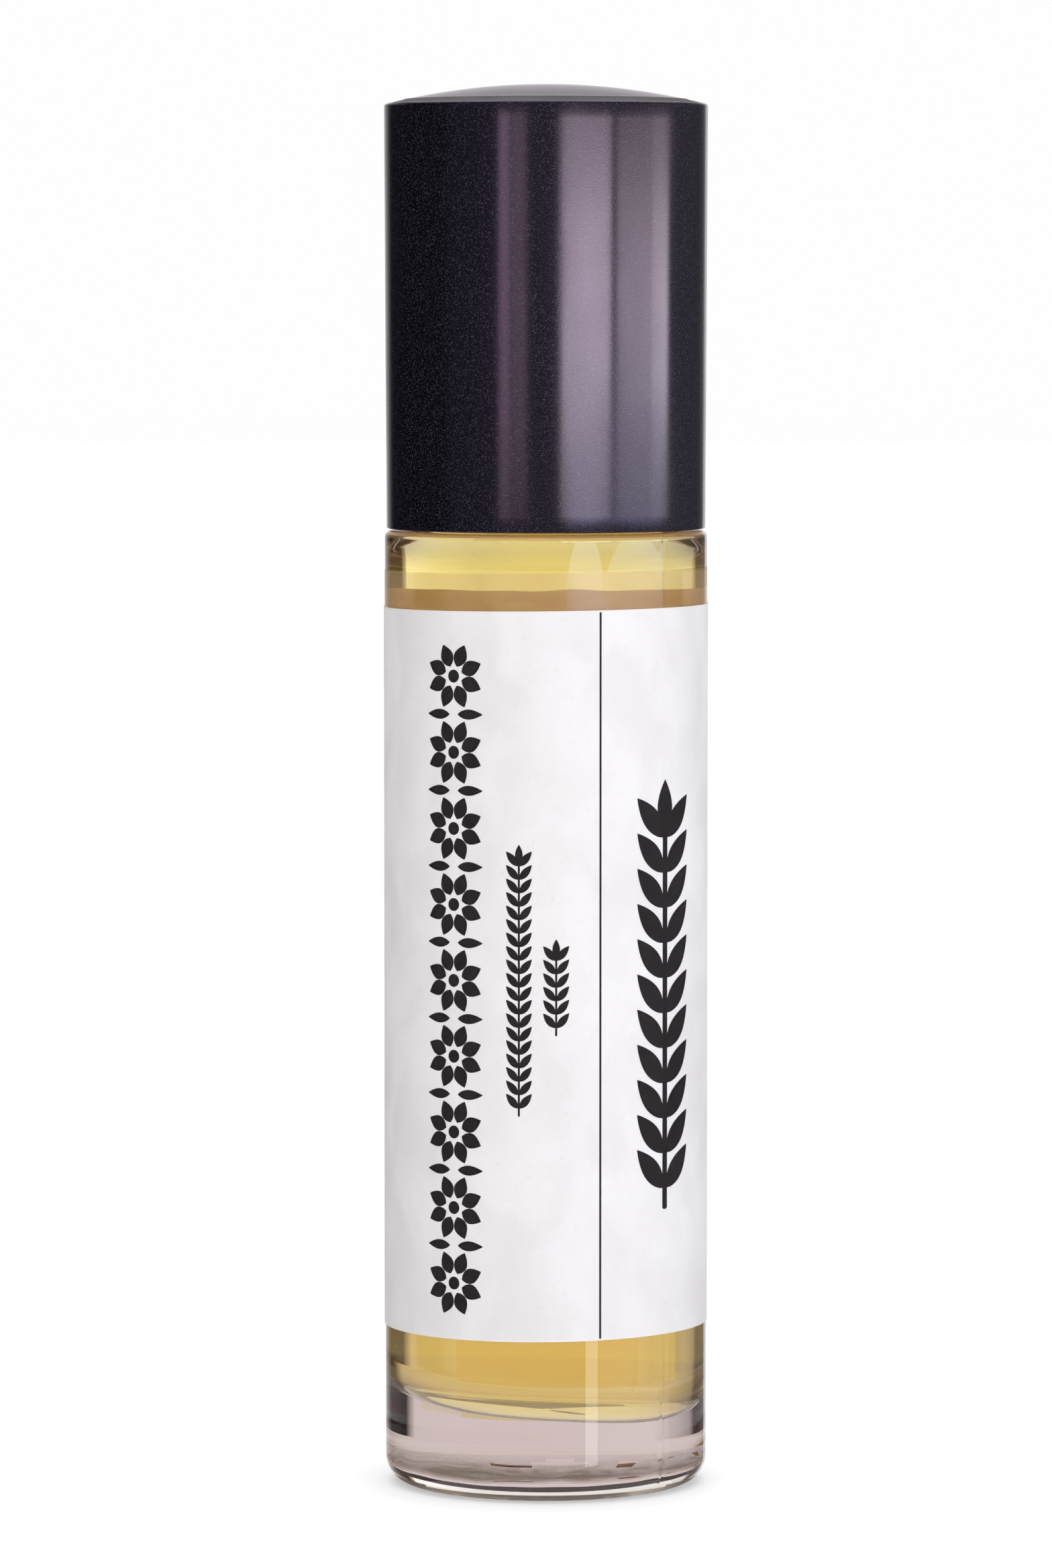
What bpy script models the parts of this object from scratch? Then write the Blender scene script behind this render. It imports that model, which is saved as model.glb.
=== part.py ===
"""Roll-on bottle of perfume oil, modelled piece by piece at its real size.

Metres, +Z up. The origin is the middle of the foot, on the surface that the bottle stands on.
Every turned piece is an outline of (radius, height) points, given from its own origin on the bottle's
axis, so a piece that turns has its origin on the line that it turns about.

The sizes run from the body inwards: body, neck, bore, roller ball and its housing. Then they run outwards
again from the neck: thread, cap, liner. Heights are stacked from the foot up.
"""

import math

import bmesh
import bpy
from mathutils import Vector

Point = tuple[float, float]

# Facets of the round pieces
SEGMENTS = 48
ARC_STEPS = 4
LIP_STEPS = 2
RIM_STEPS = 3
SOCKET_STEPS = 8
BALL_RINGS = 20
SHARP_ANGLE = math.radians(32)
MERGE_DISTANCE = 0.00001
CUT_OVERRUN = 0.0010

# Glass body
GLASS_RADIUS = 0.00995
GLASS_WALL = 0.0020
BODY_HEIGHT = 0.0588
BASE_THICKNESS = 0.0048
FOOT_FILLET = 0.00165
FOOT_RING_WIDTH = 0.0021
BASE_DISH = 0.0006
INNER_FILLET = 0.0030
SHOULDER_WIDTH = 0.00265
SHOULDER_FILLET = 0.0018
INNER_SHOULDER_HEIGHT = 0.0048
INNER_SHOULDER_STEPS = 6

# Neck and thread
NECK_HEIGHT = 0.0108
NECK_WALL = 0.0014
NECK_LIP_FILLET = 0.0004
THREAD_PITCH = 0.0030
THREAD_TURNS = 1.25
THREAD_RAMP_TURNS = 0.125
THREAD_HEIGHT = 0.0009
THREAD_ROOT_WIDTH = 0.0014
THREAD_CREST_WIDTH = 0.0005
THREAD_SINK = 0.0003
THREAD_RADIAL_CLEARANCE = 0.0003
THREAD_AXIAL_CLEARANCE = 0.0002
THREAD_ABOVE_SHOULDER = 0.0036

# Perfume oil
OIL_GAP = 0.0001
OIL_ABOVE_SHOULDER = 0.0007

# Ball and its housing
BALL_INSET = 0.0011
BALL_CLEARANCE = 0.00015
SEAT_ABOVE_NECK = 0.00015
FEED_SHARE = 0.79
LIP_SHARE = 0.48
CUP_WALL = 0.0012
LIP_WIDTH = 0.0013
PLUG_CLEARANCE = 0.0002
PLUG_WALL = 0.0009
PLUG_LENGTH = 0.0055
PLUG_RIBS = 3
PLUG_RIB_HALF_WIDTH = 0.0003
FLANGE_GAP = 0.0002
FLANGE_THICKNESS = 0.0012
FLANGE_INSET = 0.0004

# Cap
CAP_SEAT_GAP = 0.0004
CAP_WALL = 0.00146
CAP_DRAFT = 0.00013
CAP_TOP_WALL = 0.0015
CAP_HEADROOM = 0.00605
CAP_DOME_RISE = 0.00136
CAP_RIM_FILLET = 0.0003
CAP_EDGE_FILLET = 0.0002
CAP_RING_INSET = 0.00131
CAP_RING_WIDTH = 0.0004
CAP_RING_DEPTH = 0.00012
CAP_GATE_RADIUS = 0.0004
CAP_GATE_DEPTH = 0.00015

# Liner in the cap
LINER_CLEARANCE = 0.0002
LINER_DISC_THICKNESS = 0.0012
LINER_TUBE_WALL = 0.0009
LINER_LAND_INSET = 0.0003
LINER_SEAT_GAP = 0.0002

# Label and film
LABEL_ABOVE_FOOT = 0.0100
LABEL_GAP = 0.00002
PAPER_THICKNESS = 0.00005
FILM_THICKNESS = 0.00003
FILM_BELOW_SHOULDER_FILLET = 0.0001
FILM_OVERHANG = 0.0024
SEAM_WIDTH = 0.0005
SEAM_ANGLE = math.radians(48)

# Radii worked out from the body inwards
INNER_RADIUS = GLASS_RADIUS - GLASS_WALL
NECK_RADIUS = GLASS_RADIUS - SHOULDER_WIDTH
BORE_RADIUS = NECK_RADIUS - NECK_WALL
BALL_RADIUS = BORE_RADIUS - BALL_INSET
SOCKET_RADIUS = BALL_RADIUS + BALL_CLEARANCE
FEED_RADIUS = FEED_SHARE * SOCKET_RADIUS
CUP_RADIUS = SOCKET_RADIUS + CUP_WALL
PLUG_RADIUS = BORE_RADIUS - PLUG_CLEARANCE
PLUG_RIB_RADIUS = BORE_RADIUS - PLUG_CLEARANCE / 2
FLANGE_RADIUS = NECK_RADIUS - FLANGE_INSET
OIL_RADIUS = INNER_RADIUS - OIL_GAP

# Radii worked out from the neck outwards
THREAD_CREST_RADIUS = NECK_RADIUS + THREAD_HEIGHT
CAP_INNER_RADIUS = THREAD_CREST_RADIUS + THREAD_RADIAL_CLEARANCE
CAP_THREAD_CREST_RADIUS = NECK_RADIUS + THREAD_RADIAL_CLEARANCE
CAP_RADIUS = CAP_INNER_RADIUS + CAP_WALL

# Heights above the standing surface
NECK_TOP = BODY_HEIGHT + NECK_HEIGHT
INNER_SHOULDER_TOP = BODY_HEIGHT
OIL_LEVEL = BODY_HEIGHT + OIL_ABOVE_SHOULDER
SEAT_DEPTH = math.sqrt(SOCKET_RADIUS**2 - FEED_RADIUS**2)
BALL_HEIGHT = NECK_TOP + SEAT_ABOVE_NECK + SEAT_DEPTH
LIP_RISE = LIP_SHARE * SOCKET_RADIUS
LIP_HEIGHT = BALL_HEIGHT + LIP_RISE
LIP_RADIUS = math.sqrt(SOCKET_RADIUS**2 - LIP_RISE**2)
CAP_BOTTOM = BODY_HEIGHT + CAP_SEAT_GAP
CAP_CEILING = BALL_HEIGHT + BALL_RADIUS + CAP_HEADROOM
CAP_RIM_HEIGHT = CAP_CEILING + CAP_TOP_WALL
FILM_TOP = BODY_HEIGHT - SHOULDER_FILLET - FILM_BELOW_SHOULDER_FILLET
PAPER_TOP = FILM_TOP - FILM_OVERHANG

# The cap's thread hangs below the neck's, so that their sloping flanks face each other across a gap
FLANK_SHARE = (THREAD_HEIGHT - THREAD_RADIAL_CLEARANCE) / THREAD_HEIGHT
THREAD_MEETING_WIDTH = THREAD_CREST_WIDTH + (THREAD_ROOT_WIDTH - THREAD_CREST_WIDTH) * FLANK_SHARE
THREAD_OFFSET = THREAD_MEETING_WIDTH + THREAD_AXIAL_CLEARANCE


def arc(centre: Point, radius: float, start: float, end: float, steps: int = ARC_STEPS) -> list[Point]:
    """Points of a round stretch of an outline, both ends included. Angles are in degrees from +radius."""
    angles = [math.radians(start + (end - start) * i / steps) for i in range(steps + 1)]
    return [(centre[0] + radius * math.cos(a), centre[1] + radius * math.sin(a)) for a in angles]


def make_collection(name: str) -> bpy.types.Collection:
    """A new collection in the scene."""
    made = bpy.data.collections.new(name)
    bpy.context.scene.collection.children.link(made)
    return made


def make_material(
    name: str, colour: tuple[float, float, float], roughness: float, metallic: float = 0.0, alpha: float = 1.0
) -> bpy.types.Material:
    """A Principled material, with its colour in linear RGB."""
    made = bpy.data.materials.new(name)
    made.use_nodes = True
    shader = made.node_tree.nodes["Principled BSDF"]
    shader.inputs["Base Color"].default_value = (*colour, 1.0)
    shader.inputs["Roughness"].default_value = roughness
    shader.inputs["Metallic"].default_value = metallic
    shader.inputs["Alpha"].default_value = alpha
    return made


def clear_scene() -> None:
    """Removes whatever objects the open file holds."""
    for old in list(bpy.data.objects):
        bpy.data.objects.remove(old, do_unlink=True)


class Workshop:
    """Makes the bottle's pieces and keeps them in their collections."""

    def __init__(self) -> None:
        self.parts = make_collection("perfume_oil_bottle")
        self.cutters = make_collection("perfume_oil_bottle_cutters")
        self.stand = self.empty("bottle_axis", 0.0, None)
        self.cap_axis = self.empty("cap_axis", CAP_BOTTOM, self.stand)

    def empty(self, name: str, height: float, parent: bpy.types.Object | None) -> bpy.types.Object:
        """An empty on the bottle's axis, at a height above its parent's origin."""
        made = bpy.data.objects.new(name, None)
        self.parts.objects.link(made)
        made.parent = parent
        made.location = (0.0, 0.0, height)
        return made

    def add(
        self,
        name: str,
        mesh: bpy.types.Mesh,
        material: bpy.types.Material,
        height: float,
        parent: bpy.types.Object | None = None,
    ) -> bpy.types.Object:
        """A finished mesh as a named piece, placed on the bottle's axis."""
        mesh.shade_smooth()
        mesh.set_sharp_from_angle(angle=SHARP_ANGLE)
        mesh.materials.append(material)
        made = bpy.data.objects.new(name, mesh)
        self.parts.objects.link(made)
        made.parent = parent or self.stand
        made.location = (0.0, 0.0, height)
        return made

    def turned(self, name: str, outline: list[Point], closed: bool = False) -> bpy.types.Mesh:
        """Turns an outline about Z. It runs down its outer side; an open one starts and ends on the axis."""
        edges = [(i, i + 1) for i in range(len(outline) - 1)]
        if closed:
            edges.append((len(outline) - 1, 0))
        profile = bpy.data.meshes.new(name + "_profile")
        profile.from_pydata([(radius, 0.0, height) for radius, height in outline], edges, [])
        lathe = bpy.data.objects.new(name + "_lathe", profile)
        self.parts.objects.link(lathe)
        screw = lathe.modifiers.new("turn", "SCREW")
        screw.axis = "Z"
        screw.angle = math.tau
        screw.steps = SEGMENTS
        screw.render_steps = SEGMENTS
        screw.use_merge_vertices = True
        screw.merge_threshold = MERGE_DISTANCE
        bpy.context.view_layer.update()
        seen = lathe.evaluated_get(bpy.context.evaluated_depsgraph_get())
        mesh = bpy.data.meshes.new_from_object(seen)
        mesh.name = name
        bpy.data.objects.remove(lathe, do_unlink=True)
        bpy.data.meshes.remove(profile)
        return mesh

    def combine(self, piece: bpy.types.Object, tool: bpy.types.Object, operation: str) -> None:
        """Joins a tool to a piece or cuts it out, welds the new edges and files the tool with the cutters."""
        self.cutters.objects.link(tool)
        tool.parent = piece
        tool.hide_render = True
        tool.display_type = "WIRE"
        cut = piece.modifiers.new(tool.name, "BOOLEAN")
        cut.operation = operation
        cut.solver = "EXACT"
        cut.object = tool
        weld = piece.modifiers.new("close_hairlines", "WELD")
        weld.merge_threshold = MERGE_DISTANCE


def thread_ridge(name: str, wall: float, crest: float, start: float) -> bpy.types.Object:
    """A right-hand helical ridge on a round wall, with ends that ramp down into the wall.

    Args:
        name: The ridge's name.
        wall: Radius of the wall that carries the ridge.
        crest: Radius of the ridge's crest, inside or outside the wall.
        start: Height of the ridge's lower end, from the origin of the piece.
    """
    outward = math.copysign(1.0, crest - wall)
    root = wall - outward * THREAD_SINK
    buried = wall - outward * THREAD_SINK / 2
    steps = round(SEGMENTS * THREAD_TURNS)
    shape = bmesh.new()
    rings = []
    for i in range(steps + 1):
        turns = i / SEGMENTS
        ramp_share = min(1.0, turns / THREAD_RAMP_TURNS, (steps / SEGMENTS - turns) / THREAD_RAMP_TURNS)
        top = buried + (crest - buried) * max(0.0, ramp_share)
        middle = start + THREAD_PITCH * turns
        angle = math.tau * turns
        section = [
            (root, middle - THREAD_ROOT_WIDTH / 2),
            (top, middle - THREAD_CREST_WIDTH / 2),
            (top, middle + THREAD_CREST_WIDTH / 2),
            (root, middle + THREAD_ROOT_WIDTH / 2),
        ]
        rings.append([shape.verts.new((r * math.cos(angle), r * math.sin(angle), z)) for r, z in section])
    for low, high in zip(rings, rings[1:]):
        for i in range(len(low)):
            j = (i + 1) % len(low)
            shape.faces.new((low[i], low[j], high[j], high[i]))
    shape.faces.new(rings[0])
    shape.faces.new(rings[-1])
    bmesh.ops.recalc_face_normals(shape, faces=shape.faces)
    mesh = bpy.data.meshes.new(name)
    shape.to_mesh(mesh)
    shape.free()
    mesh.shade_smooth()
    mesh.set_sharp_from_angle(angle=SHARP_ANGLE)
    return bpy.data.objects.new(name, mesh)


def inner_shoulder(inset: float) -> list[Point]:
    """The inside of the shoulder, from the body's inner wall up to the bore, moved inwards by an inset."""
    low = INNER_SHOULDER_TOP - INNER_SHOULDER_HEIGHT
    points = []
    for i in range(INNER_SHOULDER_STEPS + 1):
        climb_share = i / INNER_SHOULDER_STEPS
        narrowing_share = (1 - math.cos(math.pi * climb_share)) / 2
        radius = INNER_RADIUS + (BORE_RADIUS - INNER_RADIUS) * narrowing_share
        points.append((radius - inset, low + INNER_SHOULDER_HEIGHT * climb_share))
    return points


def make_glass_bottle(shop: Workshop) -> None:
    """The glass: hollow body, heavy base with a dished underside, rounded shoulder and threaded neck."""
    dish_radius = GLASS_RADIUS - FOOT_FILLET - FOOT_RING_WIDTH
    dish_sphere = (dish_radius**2 + BASE_DISH**2) / (2 * BASE_DISH)
    dish_half_angle = math.degrees(math.asin(dish_radius / dish_sphere))
    dish = arc((0.0, BASE_DISH - dish_sphere), dish_sphere, 90 - dish_half_angle, 90)
    lip = NECK_TOP - NECK_LIP_FILLET
    outline = [
        (0.0, BASE_THICKNESS),
        *arc((INNER_RADIUS - INNER_FILLET, BASE_THICKNESS + INNER_FILLET), INNER_FILLET, -90, 0),
        *inner_shoulder(0.0),
        *arc((BORE_RADIUS + NECK_LIP_FILLET, lip), NECK_LIP_FILLET, 180, 90, LIP_STEPS),
        *arc((NECK_RADIUS - NECK_LIP_FILLET, lip), NECK_LIP_FILLET, 90, 0, LIP_STEPS),
        (NECK_RADIUS, BODY_HEIGHT),
        *arc((GLASS_RADIUS - SHOULDER_FILLET, BODY_HEIGHT - SHOULDER_FILLET), SHOULDER_FILLET, 90, 0),
        *arc((GLASS_RADIUS - FOOT_FILLET, FOOT_FILLET), FOOT_FILLET, 0, -90),
        *dish,
    ]
    glass = make_material("clear_glass", (0.86, 0.90, 0.90), 0.03, alpha=0.35)
    bottle = shop.add("glass_bottle", shop.turned("glass_bottle", outline), glass, 0.0)
    start = BODY_HEIGHT + THREAD_ABOVE_SHOULDER
    shop.combine(bottle, thread_ridge("neck_thread", NECK_RADIUS, THREAD_CREST_RADIUS, start), "UNION")


def make_perfume_oil(shop: Workshop) -> None:
    """The fill, which follows the inside of the glass up into the neck."""
    bottom = BASE_THICKNESS + OIL_GAP
    fillet = INNER_FILLET - OIL_GAP
    outline = [
        (0.0, OIL_LEVEL - bottom),
        (BORE_RADIUS - OIL_GAP, OIL_LEVEL - bottom),
        *[(radius, height - bottom) for radius, height in reversed(inner_shoulder(OIL_GAP))],
        *arc((OIL_RADIUS - fillet, fillet), fillet, 0, -90),
        (0.0, 0.0),
    ]
    oil = make_material("amber_oil", (0.62, 0.36, 0.07), 0.06, alpha=0.85)
    shop.add("perfume_oil", shop.turned("perfume_oil", outline), oil, bottom)


def make_ball_housing(shop: Workshop) -> None:
    """The fitment in the neck: a plug with sealing ribs, a flange on the neck's lip and the ball's cup."""
    plug_outside = [(PLUG_RADIUS, FLANGE_GAP)]
    for i in range(PLUG_RIBS):
        middle = -PLUG_LENGTH * (i + 1) / (PLUG_RIBS + 1)
        plug_outside += [
            (PLUG_RADIUS, middle + PLUG_RIB_HALF_WIDTH),
            (PLUG_RIB_RADIUS, middle),
            (PLUG_RADIUS, middle - PLUG_RIB_HALF_WIDTH),
        ]
    socket_middle = BALL_HEIGHT - NECK_TOP
    seat_angle = -math.degrees(math.acos(FEED_SHARE))
    lip_angle = math.degrees(math.asin(LIP_SHARE))
    lip = LIP_HEIGHT - NECK_TOP
    outline = [
        (LIP_RADIUS + LIP_WIDTH / 2, lip),
        (LIP_RADIUS + LIP_WIDTH, lip - LIP_WIDTH / 2),
        (CUP_RADIUS, socket_middle),
        (CUP_RADIUS, FLANGE_GAP + FLANGE_THICKNESS),
        (FLANGE_RADIUS, FLANGE_GAP + FLANGE_THICKNESS),
        (FLANGE_RADIUS, FLANGE_GAP),
        *plug_outside,
        (PLUG_RADIUS, PLUG_WALL / 2 - PLUG_LENGTH),
        (PLUG_RADIUS - PLUG_WALL / 2, -PLUG_LENGTH),
        (PLUG_RADIUS - PLUG_WALL, -PLUG_LENGTH),
        (PLUG_RADIUS - PLUG_WALL, SEAT_ABOVE_NECK - PLUG_WALL),
        *arc((0.0, socket_middle), SOCKET_RADIUS, seat_angle, lip_angle, SOCKET_STEPS),
    ]
    plastic = make_material("natural_polyethylene", (0.80, 0.81, 0.80), 0.42)
    shop.add("ball_housing", shop.turned("ball_housing", outline, closed=True), plastic, NECK_TOP)


def make_roller_ball(shop: Workshop) -> None:
    """The steel ball, with its origin at its middle."""
    shape = bmesh.new()
    bmesh.ops.create_uvsphere(shape, u_segments=SEGMENTS, v_segments=BALL_RINGS, radius=BALL_RADIUS)
    mesh = bpy.data.meshes.new("roller_ball")
    shape.to_mesh(mesh)
    shape.free()
    steel = make_material("polished_steel", (0.56, 0.57, 0.58), 0.12, metallic=1.0)
    shop.add("roller_ball", mesh, steel, BALL_HEIGHT)


def dome_height(radius: float) -> float:
    """Height of the cap's domed top at a radius, from the cap's open edge."""
    rim = CAP_RADIUS - CAP_RIM_FILLET
    sphere = (rim**2 + CAP_DOME_RISE**2) / (2 * CAP_DOME_RISE)
    drop = sphere - math.sqrt(sphere**2 - radius**2)
    return CAP_RIM_HEIGHT - CAP_BOTTOM + CAP_DOME_RISE - drop


def make_cap_shell(shop: Workshop) -> None:
    """The black cap: slightly tapered skirt, domed top with a fine ring and a gate mark, inside thread."""
    ring = CAP_RADIUS - CAP_RING_INSET
    rim = CAP_RADIUS - CAP_RIM_FILLET
    foot = CAP_RADIUS - CAP_DRAFT
    ceiling = CAP_CEILING - CAP_BOTTOM
    dome_radii = [ring * i / ARC_STEPS for i in range(1, ARC_STEPS)]
    outline = [
        (0.0, dome_height(0.0) - CAP_GATE_DEPTH),
        (CAP_GATE_RADIUS / 2, dome_height(0.0) - CAP_GATE_DEPTH),
        (CAP_GATE_RADIUS, dome_height(CAP_GATE_RADIUS)),
        *[(radius, dome_height(radius)) for radius in dome_radii],
        (ring - CAP_RING_WIDTH / 2, dome_height(ring - CAP_RING_WIDTH / 2)),
        (ring, dome_height(ring) - CAP_RING_DEPTH),
        (ring + CAP_RING_WIDTH / 2, dome_height(ring + CAP_RING_WIDTH / 2)),
        *arc((rim, dome_height(rim) - CAP_RIM_FILLET), CAP_RIM_FILLET, 90, 0, RIM_STEPS),
        *arc((foot - CAP_EDGE_FILLET, CAP_EDGE_FILLET), CAP_EDGE_FILLET, 0, -90, LIP_STEPS),
        (CAP_INNER_RADIUS + CAP_EDGE_FILLET, 0.0),
        (CAP_INNER_RADIUS, CAP_EDGE_FILLET),
        (CAP_INNER_RADIUS, ceiling),
        (0.0, ceiling),
    ]
    plastic = make_material("black_satin_plastic", (0.012, 0.011, 0.015), 0.38)
    cap = shop.add("cap_shell", shop.turned("cap_shell", outline), plastic, 0.0, shop.cap_axis)
    start = BODY_HEIGHT + THREAD_ABOVE_SHOULDER - THREAD_OFFSET - CAP_BOTTOM
    shop.combine(cap, thread_ridge("cap_thread", CAP_INNER_RADIUS, CAP_THREAD_CREST_RADIUS, start), "UNION")


def make_cap_liner(shop: Workshop) -> None:
    """The seal in the cap: a disc under its ceiling and a tube that closes on the housing's lip."""
    seat = LIP_HEIGHT + LINER_SEAT_GAP
    top = CAP_CEILING - LINER_CLEARANCE - seat
    under = top - LINER_DISC_THICKNESS
    disc = CAP_INNER_RADIUS - LINER_CLEARANCE
    bore = LIP_RADIUS + LINER_LAND_INSET
    outline = [
        (0.0, top),
        (disc, top),
        (disc, under),
        (bore + LINER_TUBE_WALL, under),
        (bore + LINER_TUBE_WALL, 0.0),
        (bore, 0.0),
        (bore, under),
        (0.0, under),
    ]
    plastic = make_material("white_polyethylene", (0.83, 0.83, 0.82), 0.45)
    shop.add("cap_liner", shop.turned("cap_liner", outline), plastic, seat - CAP_BOTTOM, shop.cap_axis)


def seam_cutter(name: str, height: float) -> bpy.types.Object:
    """A thin upright block through the wall of a wrapped label, where its ends meet behind the bottle."""
    shape = bmesh.new()
    bmesh.ops.create_cube(shape, size=1.0)
    bmesh.ops.scale(shape, verts=shape.verts, vec=(SEAM_WIDTH, CUT_OVERRUN, height + CUT_OVERRUN))
    mesh = bpy.data.meshes.new(name)
    shape.to_mesh(mesh)
    shape.free()
    made = bpy.data.objects.new(name, mesh)
    across = Vector((-math.sin(SEAM_ANGLE), math.cos(SEAM_ANGLE), 0.0))
    made.location = across * GLASS_RADIUS + Vector((0.0, 0.0, height / 2))
    made.rotation_euler = (0.0, 0.0, SEAM_ANGLE)
    return made


def make_label(shop: Workshop) -> None:
    """The white label round the body, and the clear film over it, which steps in above the label's edge."""
    paper_inside = GLASS_RADIUS + LABEL_GAP
    paper_outside = paper_inside + PAPER_THICKNESS
    film_inside = paper_outside + LABEL_GAP
    paper_height = PAPER_TOP - LABEL_ABOVE_FOOT
    film_height = FILM_TOP - LABEL_ABOVE_FOOT
    step = paper_height + LABEL_GAP
    paper_outline = [
        (paper_outside, paper_height),
        (paper_outside, 0.0),
        (paper_inside, 0.0),
        (paper_inside, paper_height),
    ]
    film_outline = [
        (paper_inside + FILM_THICKNESS, film_height),
        (paper_inside + FILM_THICKNESS, step + FILM_THICKNESS + PAPER_THICKNESS),
        (film_inside + FILM_THICKNESS, step + FILM_THICKNESS),
        (film_inside + FILM_THICKNESS, 0.0),
        (film_inside, 0.0),
        (film_inside, step),
        (paper_inside, step + PAPER_THICKNESS),
        (paper_inside, film_height),
    ]
    white = make_material("white_label_stock", (0.80, 0.78, 0.79), 0.55)
    clear = make_material("clear_film", (0.92, 0.92, 0.92), 0.08, alpha=0.25)
    paper = shop.turned("label_paper", paper_outline, closed=True)
    film = shop.turned("label_film", film_outline, closed=True)
    paper_piece = shop.add("label_paper", paper, white, LABEL_ABOVE_FOOT)
    film_piece = shop.add("label_film", film, clear, LABEL_ABOVE_FOOT)
    shop.combine(paper_piece, seam_cutter("label_paper_seam", paper_height), "DIFFERENCE")
    shop.combine(film_piece, seam_cutter("label_film_seam", film_height), "DIFFERENCE")


def main() -> None:
    """Builds the bottle from the foot up."""
    clear_scene()
    shop = Workshop()
    make_glass_bottle(shop)
    make_perfume_oil(shop)
    make_ball_housing(shop)
    make_roller_ball(shop)
    make_cap_shell(shop)
    make_cap_liner(shop)
    make_label(shop)
    bpy.context.view_layer.update()


if __name__ == "__main__":
    main()
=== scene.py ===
"""Roll-on bottle of perfume oil on a white studio table.

Every class below is one sub-assembly of the bottle, one finish or one part of the studio. Lengths are in
metres, +Z is up, and azimuths run round the bottle from its front (-Y) towards its right (+X).
"""

from __future__ import annotations

import logging
import math
from collections.abc import Callable, Sequence
from dataclasses import dataclass, field
from enum import Enum
from typing import Protocol

import bmesh
import bpy
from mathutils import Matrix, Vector

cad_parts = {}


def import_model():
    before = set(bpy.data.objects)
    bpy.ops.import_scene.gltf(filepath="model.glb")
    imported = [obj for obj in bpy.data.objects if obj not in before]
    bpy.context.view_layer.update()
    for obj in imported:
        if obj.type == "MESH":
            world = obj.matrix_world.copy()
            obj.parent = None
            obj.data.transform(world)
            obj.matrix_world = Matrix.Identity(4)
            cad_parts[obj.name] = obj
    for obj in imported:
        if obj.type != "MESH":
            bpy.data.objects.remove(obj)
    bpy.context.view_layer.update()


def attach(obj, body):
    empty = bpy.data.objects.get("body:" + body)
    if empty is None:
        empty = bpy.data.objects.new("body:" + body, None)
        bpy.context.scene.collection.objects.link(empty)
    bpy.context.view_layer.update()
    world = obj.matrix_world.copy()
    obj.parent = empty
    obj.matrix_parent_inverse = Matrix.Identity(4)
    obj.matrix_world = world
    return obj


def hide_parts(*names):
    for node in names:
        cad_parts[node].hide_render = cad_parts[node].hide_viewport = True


log = logging.getLogger("perfume_oil_bottle")

Point = tuple[float, float]
Colour = tuple[float, float, float]
Stretch = tuple[float, float, float]
Polygon = list[Point]
# A place from 0 to 1 along a ramp, and its colour
Stop = tuple[float, Colour]
# Size, crests in a turn, climb in radians per metre, phase
Wave = tuple[float, int, float, float]
# From an outline's point and its azimuth, radius and height to its new radius and height
Reshape = Callable[[int, float, float, float], Point]

WHITE = (1.0, 1.0, 1.0)
TOLERANCE = 1e-7
LAMP_DISTANCE = 0.32
SHARP_ANGLE = math.radians(34)


class Body(Enum):
    """The bodies of the bottle that move against each other."""

    BOTTLE = "bottle"
    BALL = "ball"
    SEAL = "seal"
    CAP = "cap"


class Ray(Enum):
    """Kinds of ray that a stage surface can tell apart."""

    CAMERA = "Is Camera Ray"
    GLOSSY = "Is Glossy Ray"
    TRANSMISSION = "Is Transmission Ray"


# Turned shapes


def arc(centre: Point, radius: float, start: float, end: float, steps: int) -> list[Point]:
    """Points of a round stretch of an outline.

    Args:
        centre: Radius and height of the arc's centre.
        radius: The arc's own radius.
        start: Angle of the first point, in degrees from the outward direction.
        end: Angle of the last point.
        steps: How many straight stretches stand for the arc.

    Returns:
        The points, both ends included.
    """
    angles = [math.radians(start + (end - start) * i / steps) for i in range(steps + 1)]
    return [(centre[0] + radius * math.cos(a), centre[1] + radius * math.sin(a)) for a in angles]


def straight(first: Point, last: Point, steps: int) -> list[Point]:
    """Evenly spaced points from one point to another.

    Args:
        first: The first point.
        last: The last point.
        steps: How many stretches lie between them.

    Returns:
        The points, both ends included.
    """
    shares = [i / steps for i in range(steps + 1)]
    return [(first[0] + (last[0] - first[0]) * s, first[1] + (last[1] - first[1]) * s) for s in shares]


def smooth_step(value: float) -> float:
    """A share from 0 to 1 that eases in and out."""
    held = min(1.0, max(0.0, value))
    return held * held * (3 - 2 * held)


def around(azimuth: float, radius: float, height: float) -> Vector:
    """The place at an azimuth, a distance from the bottle's axis and a height."""
    return Vector((radius * math.sin(azimuth), -radius * math.cos(azimuth), height))


def waves(terms: Sequence[Wave], azimuth: float, height: float = 0.0) -> float:
    """The sum of some waves round a piece.

    Args:
        terms: The waves.
        azimuth: Azimuth of the place.
        height: Height of the place.

    Returns:
        The sum at that place.
    """
    return sum(
        size * math.sin(crests * azimuth + climb * height + phase) for size, crests, climb, phase in terms
    )


def azimuths(segments: int, marks: Sequence[float] = ()) -> list[float]:
    """Azimuths right round a piece, with extra ones where it needs finer facets.

    Args:
        segments: How many even steps make the whole turn.
        marks: Extra azimuths, in radians.

    Returns:
        All azimuths from 0 to a whole turn, in order.
    """
    even = [math.tau * i / segments for i in range(segments)]
    return sorted(even + [mark % math.tau for mark in marks])


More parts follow.
